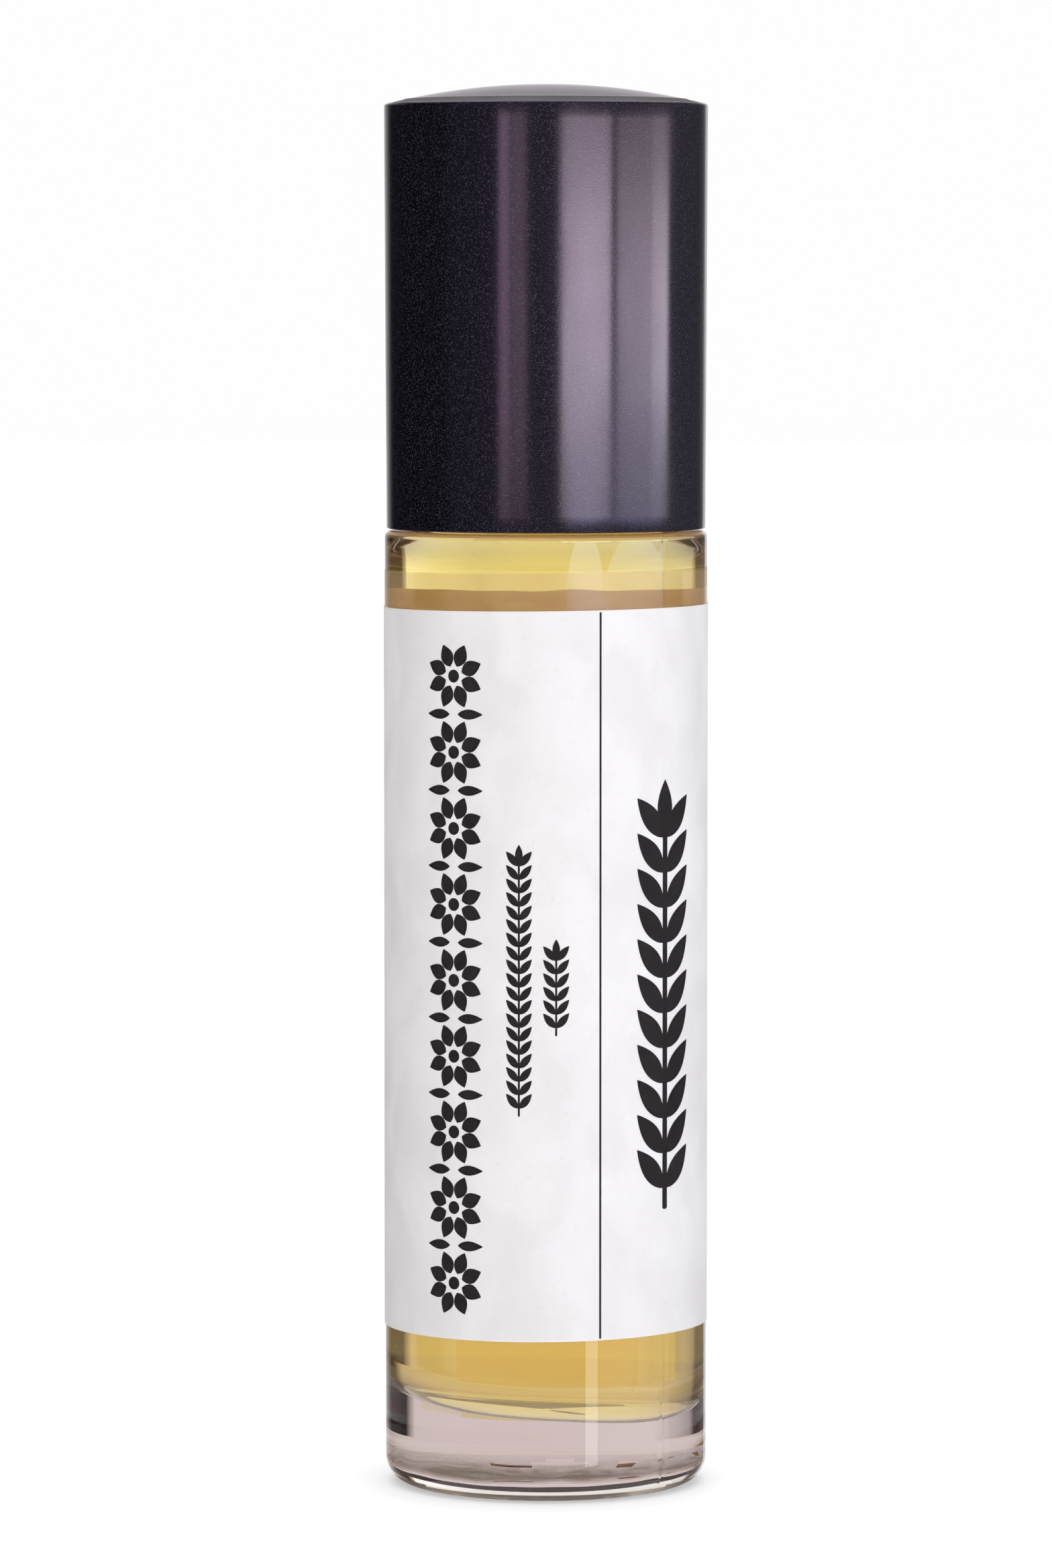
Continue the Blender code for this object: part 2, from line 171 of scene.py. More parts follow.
@dataclass
class Turning:
    """A piece turned on the bottle's axis.

    Attributes:
        name: The piece's name.
        outline: Points of its section, down its outer side.
        turns: The azimuths of its facets.
        closed: Whether the section's last point joins its first.
        whole: Whether it goes right round.
        reshape: What moves its points off the plain round shape.
    """

    name: str
    outline: Sequence[Point]
    turns: Sequence[float]
    closed: bool = False
    whole: bool = True
    reshape: Reshape | None = None

    def build(self) -> bpy.types.Object:
        """Makes the piece and links it to the scene.

        Returns:
            The new object, which sits at the origin.
        """
        shape = bmesh.new()
        rings = [self.ring(shape, index, *point) for index, point in enumerate(self.outline)]
        pairs = list(zip(rings, rings[1:]))
        if self.closed:
            pairs.append((rings[-1], rings[0]))
        steps = len(self.turns) if self.whole else len(self.turns) - 1
        for upper, lower in pairs:
            for i in range(steps):
                j = (i + 1) % len(self.turns)
                above, below = len(upper), len(lower)
                corners = [upper[i % above], upper[j % above], lower[j % below], lower[i % below]]
                kept = [corner for k, corner in enumerate(corners) if corner not in corners[:k]]
                if len(kept) > 2:
                    shape.faces.new(kept)
        if not self.whole:
            shape.faces.new([ring[0] for ring in rings])
            shape.faces.new([ring[-1] for ring in rings])
        bmesh.ops.recalc_face_normals(shape, faces=shape.faces)
        return finished(self.name, shape)

    def ring(
        self, shape: bmesh.types.BMesh, index: int, radius: float, height: float
    ) -> list[bmesh.types.BMVert]:
        """The points of one ring of the piece.

        Args:
            shape: The mesh that takes the points.
            index: Which point of the outline the ring is.
            radius: The ring's radius.
            height: The ring's height.

        Returns:
            One point on the axis, or one for each azimuth.
        """
        if radius < TOLERANCE:
            if self.reshape:
                height = self.reshape(index, 0.0, 0.0, height)[1]
            return [shape.verts.new((0.0, 0.0, height))]
        made = []
        for azimuth in self.turns:
            place = self.reshape(index, azimuth, radius, height) if self.reshape else (radius, height)
            made.append(shape.verts.new(around(azimuth, *place)))
        return made


def finished(name: str, shape: bmesh.types.BMesh) -> bpy.types.Object:
    """Turns a mesh under construction into a smooth-shaded object.

    Args:
        name: The object's name.
        shape: The mesh, which is freed.

    Returns:
        The new object, linked to the scene.
    """
    mesh = bpy.data.meshes.new(name)
    shape.to_mesh(mesh)
    shape.free()
    mesh.shade_smooth()
    mesh.set_sharp_from_angle(angle=SHARP_ANGLE)
    made = bpy.data.objects.new(name, mesh)
    bpy.context.scene.collection.objects.link(made)
    return made


# Finishes


class Nodes:
    """A node tree in the making."""

    def __init__(self, tree: bpy.types.NodeTree) -> None:
        """Takes up a node tree."""
        self.tree = tree

    def node(
        self, kind: str, *sources: bpy.types.NodeSocket, **values: float | str | bool | Colour
    ) -> bpy.types.Node:
        """A new node with its settings and inputs.

        Args:
            kind: The node's type, without the ShaderNode prefix.
            sources: Sockets that are joined to its first inputs.
            values: Settings in lower case, and plain inputs with a capital letter.

        Returns:
            The new node.
        """
        made = self.tree.nodes.new("ShaderNode" + kind)
        for socket, source in zip(made.inputs, sources):
            self.link(source, socket)
        for key, value in values.items():
            if key[0].isupper():
                made.inputs[key.replace("_", " ")].default_value = value
            else:
                setattr(made, key, value)
        return made

    def link(self, source: bpy.types.NodeSocket, target: bpy.types.NodeSocket) -> None:
        """Joins two sockets."""
        self.tree.links.new(source, target)

    def coloured(self, source: bpy.types.NodeSocket, *stops: Stop) -> bpy.types.NodeSocket:
        """Colours that follow a pattern.

        Args:
            source: The pattern.
            stops: Places from 0 to 1 with the colour at each.

        Returns:
            The socket that gives the colour.
        """
        ramp = self.node("ValToRGB", source)
        stations = ramp.color_ramp.elements
        while len(stations) < len(stops):
            stations.new(0.5)
        for station, (position, colour) in zip(stations, stops):
            station.position = position
            station.color = (*colour, 1.0)
        return ramp.outputs["Color"]


class Shading(Nodes):
    """A Principled material in the making."""

    def __init__(self, name: str) -> None:
        """Starts a material with its shader and the piece's own coordinates.

        Args:
            name: The material's name.
        """
        self.material = bpy.data.materials.new(name)
        self.material.use_nodes = True
        super().__init__(self.material.node_tree)
        self.shader = self.tree.nodes["Principled BSDF"]
        self.place = self.node("TexCoord").outputs["Object"]

    def put(self, **values: float | Colour) -> None:
        """Sets the shader's plain sockets.

        Args:
            values: What each socket holds, with underscores for the spaces in its name.
        """
        for key, value in values.items():
            socket = self.shader.inputs[key.replace("_", " ")]
            colour = isinstance(value, tuple) and len(value) == 3 and len(socket.default_value) == 4
            socket.default_value = (*value, 1.0) if colour else value

    def noise(
        self, size: float, detail: float = 2.0, stretch: Stretch | None = None, warp: float = 0.0
    ) -> bpy.types.NodeSocket:
        """Soft random spots.

        Args:
            size: How large a spot is.
            detail: How many finer layers it has.
            stretch: How much longer the spots are along each axis.
            warp: How strongly the spots are twisted.

        Returns:
            The socket that gives the pattern, about 0 to 1.
        """
        place = self.place
        if stretch:
            place = self.node("Mapping", place, Scale=tuple(1.0 / s for s in stretch)).outputs["Vector"]
        spots = self.node("TexNoise", place, Scale=1.0 / size, Detail=detail, Distortion=warp)
        return spots.outputs["Fac"]

    def ranged(self, source: bpy.types.NodeSocket, low: float, high: float, target: str) -> None:
        """Drives one of the shader's sockets by a pattern.

        Args:
            source: The pattern.
            low: The socket's value where the pattern is weak.
            high: Its value where the pattern is strong.
            target: The socket's name.
        """
        span = self.node("MapRange", source, From_Min=0.3, From_Max=0.7, To_Min=low, To_Max=high)
        self.link(span.outputs["Result"], self.shader.inputs[target])

    def base(self, source: bpy.types.NodeSocket, *stops: Stop) -> None:
        """Colours the surface by a pattern.

        Args:
            source: The pattern.
            stops: Places from 0 to 1 with the colour at each.
        """
        self.link(self.coloured(source, *stops), self.shader.inputs["Base Color"])

    def mixed(
        self, share: bpy.types.NodeSocket, first: bpy.types.NodeSocket, second: Colour
    ) -> bpy.types.NodeSocket:
        """A colour that gives way to another where a pattern is strong.

        Args:
            share: The pattern.
            first: The colour where it is weak.
            second: The colour where it is strong.

        Returns:
            The socket that gives the colour.
        """
        mix = self.node("Mix", data_type="RGBA")
        self.link(share, mix.inputs[0])
        self.link(first, mix.inputs[6])
        mix.inputs[7].default_value = (*second, 1.0)
        return mix.outputs[2]

    def relief(self, source: bpy.types.NodeSocket, depth: float, strength: float = 1.0) -> None:
        """Adds a bump over what bumps there are.

        Args:
            source: The pattern of heights.
            depth: How deep it is, in metres.
            strength: Share of it that shows.
        """
        bump = self.node("Bump", Strength=strength, Distance=depth)
        self.link(source, bump.inputs["Height"])
        before = self.shader.inputs["Normal"]
        if before.is_linked:
            self.link(before.links[0].from_socket, bump.inputs["Normal"])
        self.link(bump.outputs["Normal"], before)

    def fill(self, colour: Colour, density: float) -> None:
        """Fills the piece with an even tint that deepens with thickness.

        Args:
            colour: The tint.
            density: How fast it deepens, per metre.
        """
        tint = self.node("VolumeAbsorption", Color=(*colour, 1.0), Density=density)
        self.link(tint.outputs["Volume"], self.tree.nodes["Material Output"].inputs["Volume"])


@dataclass(frozen=True)
class ClearMatter:
    """Glass or oil: clear, with a tint that deepens with its thickness.

    Attributes:
        name: The finish's name.
        refraction: Its index of refraction.
        colour: What it tints at its surface.
        tint: What a thick piece lets through.
        density: How fast the tint deepens, per metre.
        ripple: Size of the slow waves in its surface.
        ripple_depth: How deep they are.
    """

    name: str
    refraction: float
    colour: Colour
    tint: Colour
    density: float
    ripple: float
    ripple_depth: float

    def material(self) -> bpy.types.Material:
        """Builds the finish.

        Returns:
            The material.
        """
        shading = Shading(self.name)
        shading.put(Base_Color=self.colour, IOR=self.refraction, Roughness=0.0, Transmission_Weight=1.0)
        shading.relief(shading.noise(self.ripple, 1.0, (1.0, 1.0, 3.0)), self.ripple_depth)
        shading.fill(self.tint, self.density)
        return shading.material


@dataclass(frozen=True)
class StippledGlass:
    """The glass of the underside, which the mould leaves finely stippled.

    Attributes:
        name: The finish's name.
        clear: The clear glass that it belongs to.
        roughness: Least and most roughness.
        dot: Size of the stipple.
        depth: Depth of the stipple.
        warp: How ragged the stipple is.
    """

    name: str
    clear: ClearMatter
    roughness: Point = (0.55, 0.85)
    dot: float = 0.00035
    depth: float = 0.00002
    warp: float = 0.4

    def material(self) -> bpy.types.Material:
        """Builds the finish.

        Returns:
            The material.
        """
        shading = Shading(self.name)
        shading.put(Base_Color=self.clear.colour, IOR=self.clear.refraction, Transmission_Weight=1.0)
        dots = shading.noise(self.dot, warp=self.warp)
        shading.ranged(dots, *self.roughness, "Roughness")
        shading.relief(dots, self.depth)
        shading.fill(self.clear.tint, self.clear.density)
        return shading.material


@dataclass(frozen=True)
class MouldedPlastic:
    """Injection-moulded plastic with a fine grain.

    Attributes:
        name: The finish's name.
        colour: Its colour.
        fleck: The colour of its faint flecks.
        roughness: Least and most roughness.
        shine: The tint of its reflections.
        shine_level: How strong they are, 0.5 for plain plastic.
        grain: Size of its grain.
        grain_depth: Depth of its grain.
        glow: Share of light that wanders under its surface.
        glow_reach: How far it wanders.
        cloud: Size of the slow changes in its sheen.
        streak: Depth of the faint upright marks that the mould left.
        streak_width: Width of those marks.
    """

    name: str
    colour: Colour
    fleck: Colour
    roughness: Point
    shine: Colour = WHITE
    shine_level: float = 0.5
    grain: float = 0.00025
    grain_depth: float = 0.000004
    glow: float = 0.0
    glow_reach: float = 0.0008
    cloud: float = 0.004
    streak: float = 0.0
    streak_width: float = 0.00045

    def material(self) -> bpy.types.Material:
        """Builds the finish.

        Returns:
            The material.
        """
        shading = Shading(self.name)
        shading.put(Specular_IOR_Level=self.shine_level, Specular_Tint=self.shine, IOR=1.5)
        if self.glow:
            shading.put(Subsurface_Weight=self.glow, Subsurface_Scale=self.glow_reach)
        grain = shading.noise(self.grain)
        shading.base(grain, (0.54, self.colour), (0.74, self.fleck))
        clouds = shading.noise(self.cloud, stretch=(1.0, 1.0, 2.5))
        shading.ranged(clouds, *self.roughness, "Roughness")
        shading.relief(grain, self.grain_depth)
        if self.streak:
            marks = shading.noise(self.streak_width, 3.0, (1.0, 1.0, 60.0))
            shading.relief(marks, self.streak)
        return shading.material


@dataclass(frozen=True)
class PolishedSteel:
    """Bright steel of a bearing ball, under a thin bloom of oil.

    Attributes:
        name: The finish's name.
        colour: The metal's colour.
        roughness: Least and most roughness.
        metallic: Share of the surface that is bare metal.
        smear: Size of its faint smears.
        scratch: Width of its fine scratches.
        scratch_depth: How deep they are.
    """

    name: str = "polished_steel"
    colour: Colour = (0.78, 0.77, 0.76)
    roughness: Point = (0.16, 0.26)
    metallic: float = 0.55
    smear: float = 0.0016
    scratch: float = 0.00012
    scratch_depth: float = 0.0000004

    def material(self) -> bpy.types.Material:
        """Builds the finish.

        Returns:
            The material.
        """
        shading = Shading(self.name)
        shading.put(Metallic=self.metallic)
        smears = shading.noise(self.smear, 4.0, (3.0, 1.0, 1.0), 0.6)
        darker = tuple(0.82 * c for c in self.colour)
        shading.base(smears, (0.35, darker), (0.6, self.colour))
        shading.ranged(smears, *self.roughness, "Roughness")
        shading.relief(shading.noise(self.scratch, stretch=(6.0, 1.0, 1.0)), self.scratch_depth)
        return shading.material


@dataclass(frozen=True)
class LabelStock:
    """Coated white paper with a faint mottle.

    Attributes:
        name: The finish's name.
        colour: The clean paper.
        mottle: The greyer patches.
        speck: Faint small specks.
        roughness: Least and most roughness.
        cloud: Size of the patches.
        grit: Size of the specks.
        fibre: Size of the paper's own grain.
        fibre_depth: How deep the grain is.
        swell: Size of its soft unevenness.
        swell_depth: How deep that is.
    """

    name: str = "white_label_stock"
    colour: Colour = (0.86, 0.845, 0.838)
    mottle: Colour = (0.805, 0.785, 0.778)
    speck: Colour = (0.70, 0.68, 0.68)
    roughness: Point = (0.48, 0.62)
    cloud: float = 0.0035
    grit: float = 0.00028
    fibre: float = 0.00016
    fibre_depth: float = 0.000003
    swell: float = 0.0030
    swell_depth: float = 0.000010

    def material(self) -> bpy.types.Material:
        """Builds the finish.

        Returns:
            The material.
        """
        shading = Shading(self.name)
        cloud = shading.noise(self.cloud, 5.0, (1.0, 1.0, 1.4), 0.4)
        paper = shading.coloured(cloud, (0.36, self.mottle), (0.60, self.colour))
        grit = shading.noise(self.grit, 3.0)
        share = shading.node("MapRange", grit, From_Min=0.60, From_Max=0.80, To_Min=0.0, To_Max=0.5)
        specked = shading.mixed(share.outputs["Result"], paper, self.speck)
        shading.link(specked, shading.shader.inputs["Base Color"])
        shading.ranged(cloud, *self.roughness, "Roughness")
        shading.relief(shading.noise(self.fibre, 3.0, (1.0, 1.0, 0.5)), self.fibre_depth)
        shading.relief(shading.noise(self.swell), self.swell_depth, 0.6)
        return shading.material


@dataclass(frozen=True)
class CutPaper:
    """The raw edge of the label stock, warmer than its face.

    Attributes:
        name: The finish's name.
        colour: The fibres' colour.
        shade: The darker fibres.
        fibre: Width of a fibre.
        depth: How far it stands out.
    """

    name: str = "cut_paper_edge"
    colour: Colour = (0.93, 0.86, 0.70)
    shade: Colour = (0.80, 0.70, 0.52)
    fibre: float = 0.00010
    depth: float = 0.000006

    def material(self) -> bpy.types.Material:
        """Builds the finish.

        Returns:
            The material.
        """
        shading = Shading(self.name)
        shading.put(Roughness=0.8)
        fibres = shading.noise(self.fibre, 3.0, (3.0, 3.0, 1.0))
        shading.base(fibres, (0.35, self.shade), (0.62, self.colour))
        shading.relief(fibres, self.depth)
        return shading.material


@dataclass(frozen=True)
class GumAndShadeBack:
    """The label's inner side, which shows through the bottle: a gum tint with painted shade, darker and
    redder than its face.

    Attributes:
        name: The finish's name.
        colour: The gum over the paper, darkened and reddened with painted shade.
        patch: Its darker patches.
        glow: Share of light that comes through the thin paper.
        glow_reach: How far it wanders.
        grain: Size of the patches.
        depth: How deep they are.
    """

    name: str = "paper_back_gum_and_painted_shade"
    colour: Colour = (0.84, 0.53, 0.50)
    patch: Colour = (0.74, 0.45, 0.42)
    glow: float = 0.8
    glow_reach: float = 0.0006
    grain: float = 0.0012
    depth: float = 0.000008

    def material(self) -> bpy.types.Material:
        """Builds the finish.

        Returns:
            The material.
        """
        shading = Shading(self.name)
        shading.put(Roughness=0.7, Specular_IOR_Level=0.2)
        shading.put(Subsurface_Weight=self.glow, Subsurface_Scale=self.glow_reach)
        shading.put(Subsurface_Radius=(1.0, 0.75, 0.55))
        gum = shading.noise(self.grain, 3.0, (1.0, 1.0, 0.6), 0.5)
        shading.base(gum, (0.38, self.patch), (0.62, self.colour))
        shading.relief(gum, self.depth)
        return shading.material


@dataclass(frozen=True)
class ThinFilm:
    """Clear film with a soft sheen.

    Attributes:
        name: The finish's name.
        colour: The veil that it lays over what it covers.
        veil: How much of it shows.
        roughness: Least and most roughness.
        haze: Size of its faint patches.
        swell: Size of its soft unevenness.
        swell_depth: How deep that is.
    """

    name: str
    colour: Colour
    veil: float
    roughness: Point = (0.20, 0.30)
    haze: float = 0.0022
    swell: float = 0.0025
    swell_depth: float = 0.000012

    def material(self) -> bpy.types.Material:
        """Builds the finish.

        Returns:
            The material.
        """
        shading = Shading(self.name)
        shading.put(Alpha=self.veil, IOR=1.5, Specular_IOR_Level=1.0)
        haze = shading.noise(self.haze, 3.0, (1.0, 1.0, 3.0), 0.3)
        paler = tuple(min(1.0, 1.25 * c) for c in self.colour)
        shading.base(haze, (0.38, self.colour), (0.66, paler))
        shading.ranged(haze, *self.roughness, "Roughness")
        shading.relief(shading.noise(self.swell, 1.0), self.swell_depth)
        return shading.material


@dataclass(frozen=True)
class PrintedInk:
    """Black ink that sits on the label stock.

    Attributes:
        name: The finish's name.
        colour: The ink where it is full.
        thin: The ink where it is thinner.
        roughness: Least and most roughness.
        patch: Size of the thinner patches.
        grain: Size of the paper's grain under it.
        grain_depth: How deep the grain is.
    """

    name: str = "label_ink"
    colour: Colour = (0.009, 0.007, 0.008)
    thin: Colour = (0.018, 0.014, 0.015)
    roughness: Point = (0.42, 0.58)
    patch: float = 0.00035
    grain: float = 0.00016
    grain_depth: float = 0.000002

    def material(self) -> bpy.types.Material:
        """Builds the finish.

        Returns:
            The material.
        """
        shading = Shading(self.name)
        shading.put(Specular_IOR_Level=0.05)
        cover = shading.noise(self.patch, 4.0)
        shading.base(cover, (0.42, self.colour), (0.74, self.thin))
        shading.ranged(cover, *self.roughness, "Roughness")
        shading.relief(shading.noise(self.grain), self.grain_depth)
        return shading.material


class Finish(Protocol):
    """Anything that can build a material."""

    def material(self) -> bpy.types.Material:
        """Builds the finish."""


def dress(piece: bpy.types.Object, *finishes: Finish) -> None:
    """Gives a piece its finishes, the first of which covers it."""
    for finish in finishes:
        piece.data.materials.append(finish.material())


# The bottle's sub-assemblies


@dataclass
class Thread:
    """A rounded single-start screw thread on a round wall.

    Attributes:
        start: Height of the thread's lower end.
        pitch: Rise in one turn.
        turns: How many turns it makes.
        ramp: Turns over which each end fades into the wall.
        rise: How far the crest stands off the wall.
        crest_half: Half the width of the crest.
        root_half: Half the width of the root.
        lead: Azimuth of its lower end.
        below: Wall under its lower end that is finely divided for it.
        above: Wall over its lower end that is.
    """

    start: float
    pitch: float = 0.0030
    turns: float = 1.25
    ramp: float = 0.125
    rise: float = 0.00088
    crest_half: float = 0.00016
    root_half: float = 0.00062
    lead: float = math.pi / 2
    below: float = 0.001
    above: float = 0.0048

    @property
    def span(self) -> Point:
        """The lowest and the highest finely divided place of the wall."""
        return self.start - self.below, self.start + self.above

    def stands(self, azimuth: float, height: float) -> float:
        """How far the wall stands out at a place.

        Args:
            azimuth: Azimuth of the place.
            height: Height of the place.

        Returns:
            The distance off the plain wall.
        """
        turn = ((azimuth - self.lead) / math.tau) % 1.0
        best = 0.0
        for whole in range(math.ceil(self.turns)):
            along = turn + whole
            if along > self.turns:
                continue
            fade = smooth_step(min(along, self.turns - along) / self.ramp)
            off = abs(height - self.start - self.pitch * along)
            share = (self.root_half - off) / (self.root_half - self.crest_half)
            best = max(best, fade * smooth_step(share))
        return self.rise * best


@dataclass
class GlassBottle:
    """The moulded glass: heavy base, straight body, rounded shoulder and threaded neck.

    Attributes hold its sizes. The seams are the azimuths of the mould's two joints, and their marks are extra
    facets, in degrees to the sides. A scar is a bare patch in the stipple: two azimuths, then two heights.
    """

    radius: float = 0.00996
    wall: float = 0.0020
    body_height: float = 0.05911
    base_thickness: float = 0.00465
    foot_fillet: float = 0.00165
    foot_ring: float = 0.0021
    dish: float = 0.0006
    inner_fillet: float = 0.0030
    shoulder_fillet: float = 0.00042
    shoulder_ease: float = 0.00003
    straight_foot: float = 0.003
    straight_top: float = 0.0583
    inner_shoulder: float = 0.0026
    neck_radius: float = 0.00730
    bore: float = 0.0059
    neck_top: float = 0.0696
    neck_fillet: float = 0.0004
    lip: float = 0.0004
    segments: int = 192
    seams: tuple[float, float] = (math.radians(45.6), math.radians(225.6))
    seam_marks: tuple[float, ...] = (-1.2, -0.5, 0.01, 0.5, 1.2)
    seam_half: float = math.radians(0.9)
    seam_rise: float = 0.00003
    heel_wobble: float = 0.000022
    heel_waves: tuple[Wave, ...] = ((1.0, 3, 0.0, 0.7), (0.5, 8, 0.0, 2.1), (0.3, 19, 0.0, 0.0))
    dish_stipple: float = 1.2
    stipple_front: float = 0.00045
    stipple_back: float = 0.00100
    scars: tuple[tuple[float, float, float, float], ...] = (
        (174.0, 182.2, 0.00048, 0.00065),
        (176.0, 180.0, 0.00065, 0.00080),
        (182.2, 187.6, 0.00033, 0.00048),
        (160.0, 166.5, 0.00065, 0.00095),
        (168.0, 171.0, 0.00033, 0.00065),
    )
    wave_depth: float = 0.00004
    wave_start: float = 0.001
    wave_rise: float = 0.004
    wave_end: float = 0.006
    wall_waves: tuple[Wave, ...] = ((0.5, 2, 210.0, 0.0), (0.3, 5, -370.0, 1.3), (0.2, 9, 640.0, 0.4))
    lean: float = 0.00070
    lean_reach: float = 0.0045
    floor_waves: tuple[Wave, ...] = ((-1.0, 1, 0.0, 0.0), (0.12, 3, 0.0, 0.8))
    thread: Thread = field(default_factory=lambda: Thread(0.0624))
    # Painted shade in part: besides the glass's own faint tint, the pink tint and its depth darken the table
    # seen through the base, as the bottle's shadow does.
    finish: ClearMatter = ClearMatter(
        "clear_glass", 1.5, WHITE, (0.49, 0.36, 0.34), 19.2, 0.010, 0.000006
    )

    @property
    def inner_radius(self) -> float:
        """Radius of the hollow."""
        return self.radius - self.wall

    def inside(self, grow: float) -> list[Point]:
        """The section of the hollow, from its floor's middle up to the bore.

        Args:
            grow: How far outside the glass's own surface it lies.

        Returns:
            The points, upwards.
        """
        floor, radius = self.base_thickness, self.inner_radius
        middle = radius - self.inner_fillet
        low = self.body_height - self.inner_shoulder
        points = straight((0.0, floor - grow), (middle, floor - grow), 8)
        points += arc((middle, floor + self.inner_fillet), self.inner_fillet + grow, -90, 0, 12)[1:]
        points += straight((radius + grow, points[-1][1]), (radius + grow, low), 36)[1:]
        for i in range(1, 17):
            share = (1 - math.cos(math.pi * i / 16)) / 2
            narrowed = radius + (self.bore - radius) * share
            points.append((narrowed + grow, low + self.inner_shoulder * i / 16))
        return points

    def settled(self, azimuth: float, radius: float, height: float) -> Point:
        """Moves a point of the hollow as the cooling glass did.

        Args:
            azimuth: Azimuth of the point.
            radius: Its radius.
            height: Its height.

        Returns:
            Its new radius and height.
        """
        up = height - self.base_thickness
        reach = smooth_step((self.body_height - height) / self.wave_end)
        reach *= smooth_step((up - self.wave_start) / self.wave_rise) * min(1.0, radius / self.inner_radius)
        near = math.exp(-((up / self.lean_reach) ** 2)) * radius / self.inner_radius
        return (
            radius + self.wave_depth * reach * waves(self.wall_waves, azimuth, height),
            height + self.lean * near * waves(self.floor_waves, azimuth),
        )

    def stipple_reach(self, place: Vector) -> float:
        """How far up the heel the stipple goes: less in front, and broken by bare scars behind.

        Args:
            place: The middle of a facet of the heel.

        Returns:
            The height of the stipple's edge there.
        """
        turn = math.degrees(math.atan2(place.x, -place.y)) % 360
        for first, last, low, top in self.scars:
            if first < turn < last and low < place.z < top:
                return 0.0
        behind = (1 - math.cos(math.radians(turn))) / 2
        return self.stipple_front + (self.stipple_back - self.stipple_front) * behind

    def build(self) -> list[bpy.types.Object]:
        """Makes the bottle.

        Returns:
            The one piece of glass.
        """
        hollow = self.inside(0.0)
        top, neck, body = self.neck_top, self.neck_fillet, self.body_height - self.shoulder_fillet
        thread_low, thread_high = self.thread.span
        dish_radius = self.radius - self.foot_fillet - self.foot_ring
        sphere = (dish_radius**2 + self.dish**2) / (2 * self.dish)
        half = math.degrees(math.asin(dish_radius / sphere))
        hollow += straight(hollow[-1], (self.bore, top - self.lip), 6)[1:]
        outer = [
            *arc((self.bore + self.lip, top - self.lip), self.lip, 180, 90, 5)[1:],
            *arc((self.neck_radius - self.lip, top - self.lip), self.lip, 90, 0, 5),
            *straight((self.neck_radius, thread_high), (self.neck_radius, thread_low), 60),
            *arc((self.neck_radius + neck, self.body_height + neck), neck, 180, 270, 5),
            *arc((self.radius - self.shoulder_fillet, body), self.shoulder_fillet, 90, 0, 14),
            (self.radius, body - self.shoulder_ease),
            *straight((self.radius, self.straight_top), (self.radius, self.straight_foot), 20),
            *arc((self.radius - self.foot_fillet, self.foot_fillet), self.foot_fillet, 0, -90, 14),
            *arc((0.0, self.dish - sphere), sphere, 90 - half, 90, 16),
        ]
        marks = [seam + math.radians(off) for seam in self.seams for off in self.seam_marks]

        def reshape(index: int, azimuth: float, radius: float, height: float) -> Point:
            """Waves inside, and the thread and the mould's seams outside.

            Args:
                index: Which point of the section it is.
                azimuth: Its azimuth.
                radius: Its radius.
                height: Its height.

            Returns:
                Its new radius and height.
            """
            if index < len(hollow):
                return self.settled(azimuth, radius, height)
            if abs(radius - self.neck_radius) < TOLERANCE and thread_low < height < thread_high:
                return radius + self.thread.stands(azimuth, height), height
            if radius > self.radius - self.foot_fillet and height < self.body_height:
                offs = [abs((azimuth - seam + math.pi) % math.tau - math.pi) for seam in self.seams]
                rise = self.seam_rise * smooth_step(1 - min(offs) / self.seam_half)
                near = max(0.0, 1 - height / self.foot_fillet)
                wobble = self.heel_wobble * near * (1 - near) * 4 * waves(self.heel_waves, azimuth)
                return radius + rise - wobble, height
            return radius, height

        turns = azimuths(self.segments, marks)
        made = Turning("glass_body", [*hollow, *outer], turns, reshape=reshape).build()
        dress(made, self.finish, StippledGlass("stippled_glass", self.finish))
        for polygon in made.data.polygons:
            centre = polygon.center
            flat = math.hypot(centre.x, centre.y) < self.radius - self.foot_fillet
            if centre.z < (self.dish * self.dish_stipple if flat else self.stipple_reach(centre)):
                polygon.material_index = 1
        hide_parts("glass_bottle")
        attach(made, Body.BOTTLE.value)
        return [made]


@dataclass
class OilFill:
    """The perfume oil, which wets the glass up into the neck.

    Attributes:
        bottle: The glass that holds it.
        above_shoulder: How far it stands above the body.
        overlap: How far its surface lies inside the glass, so that no air shows between them.
        meniscus: How far it climbs the wall.
        curl: How steeply it does.
        finish: The oil's look.
    """

    bottle: GlassBottle
    above_shoulder: float = 0.00042
    overlap: float = 0.00002
    meniscus: float = 0.00025
    curl: float = 9.0
    finish: ClearMatter = ClearMatter(
        "amber_oil", 1.47, WHITE, (0.988, 0.860, 0.135), 110.0, 0.02, 0.000001
    )

    def build(self) -> list[bpy.types.Object]:
        """Makes the fill.

        Returns:
            The one piece of oil.
        """
        wall = self.bottle.inside(self.overlap)
        level = self.bottle.body_height + self.above_shoulder
        top_radius = wall[-1][0]
        shares = [i / 10 for i in range(10)]
        surface = [(top_radius * s, level + self.meniscus * math.exp((s - 1) * self.curl)) for s in shares]
        surface.append((top_radius, level + self.meniscus))

        def reshape(index: int, azimuth: float, radius: float, height: float) -> Point:
            """Follows the glass, but keeps the free surface level."""
            follows = index < len(wall)
            return self.bottle.settled(azimuth, radius, height) if follows else (radius, height)

        outline = [*wall, *reversed(surface)]
        made = Turning("oil_fill", outline, azimuths(self.bottle.segments), reshape=reshape).build()
        dress(made, self.finish)
        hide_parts("perfume_oil")
        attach(made, Body.BOTTLE.value)
        return [made]


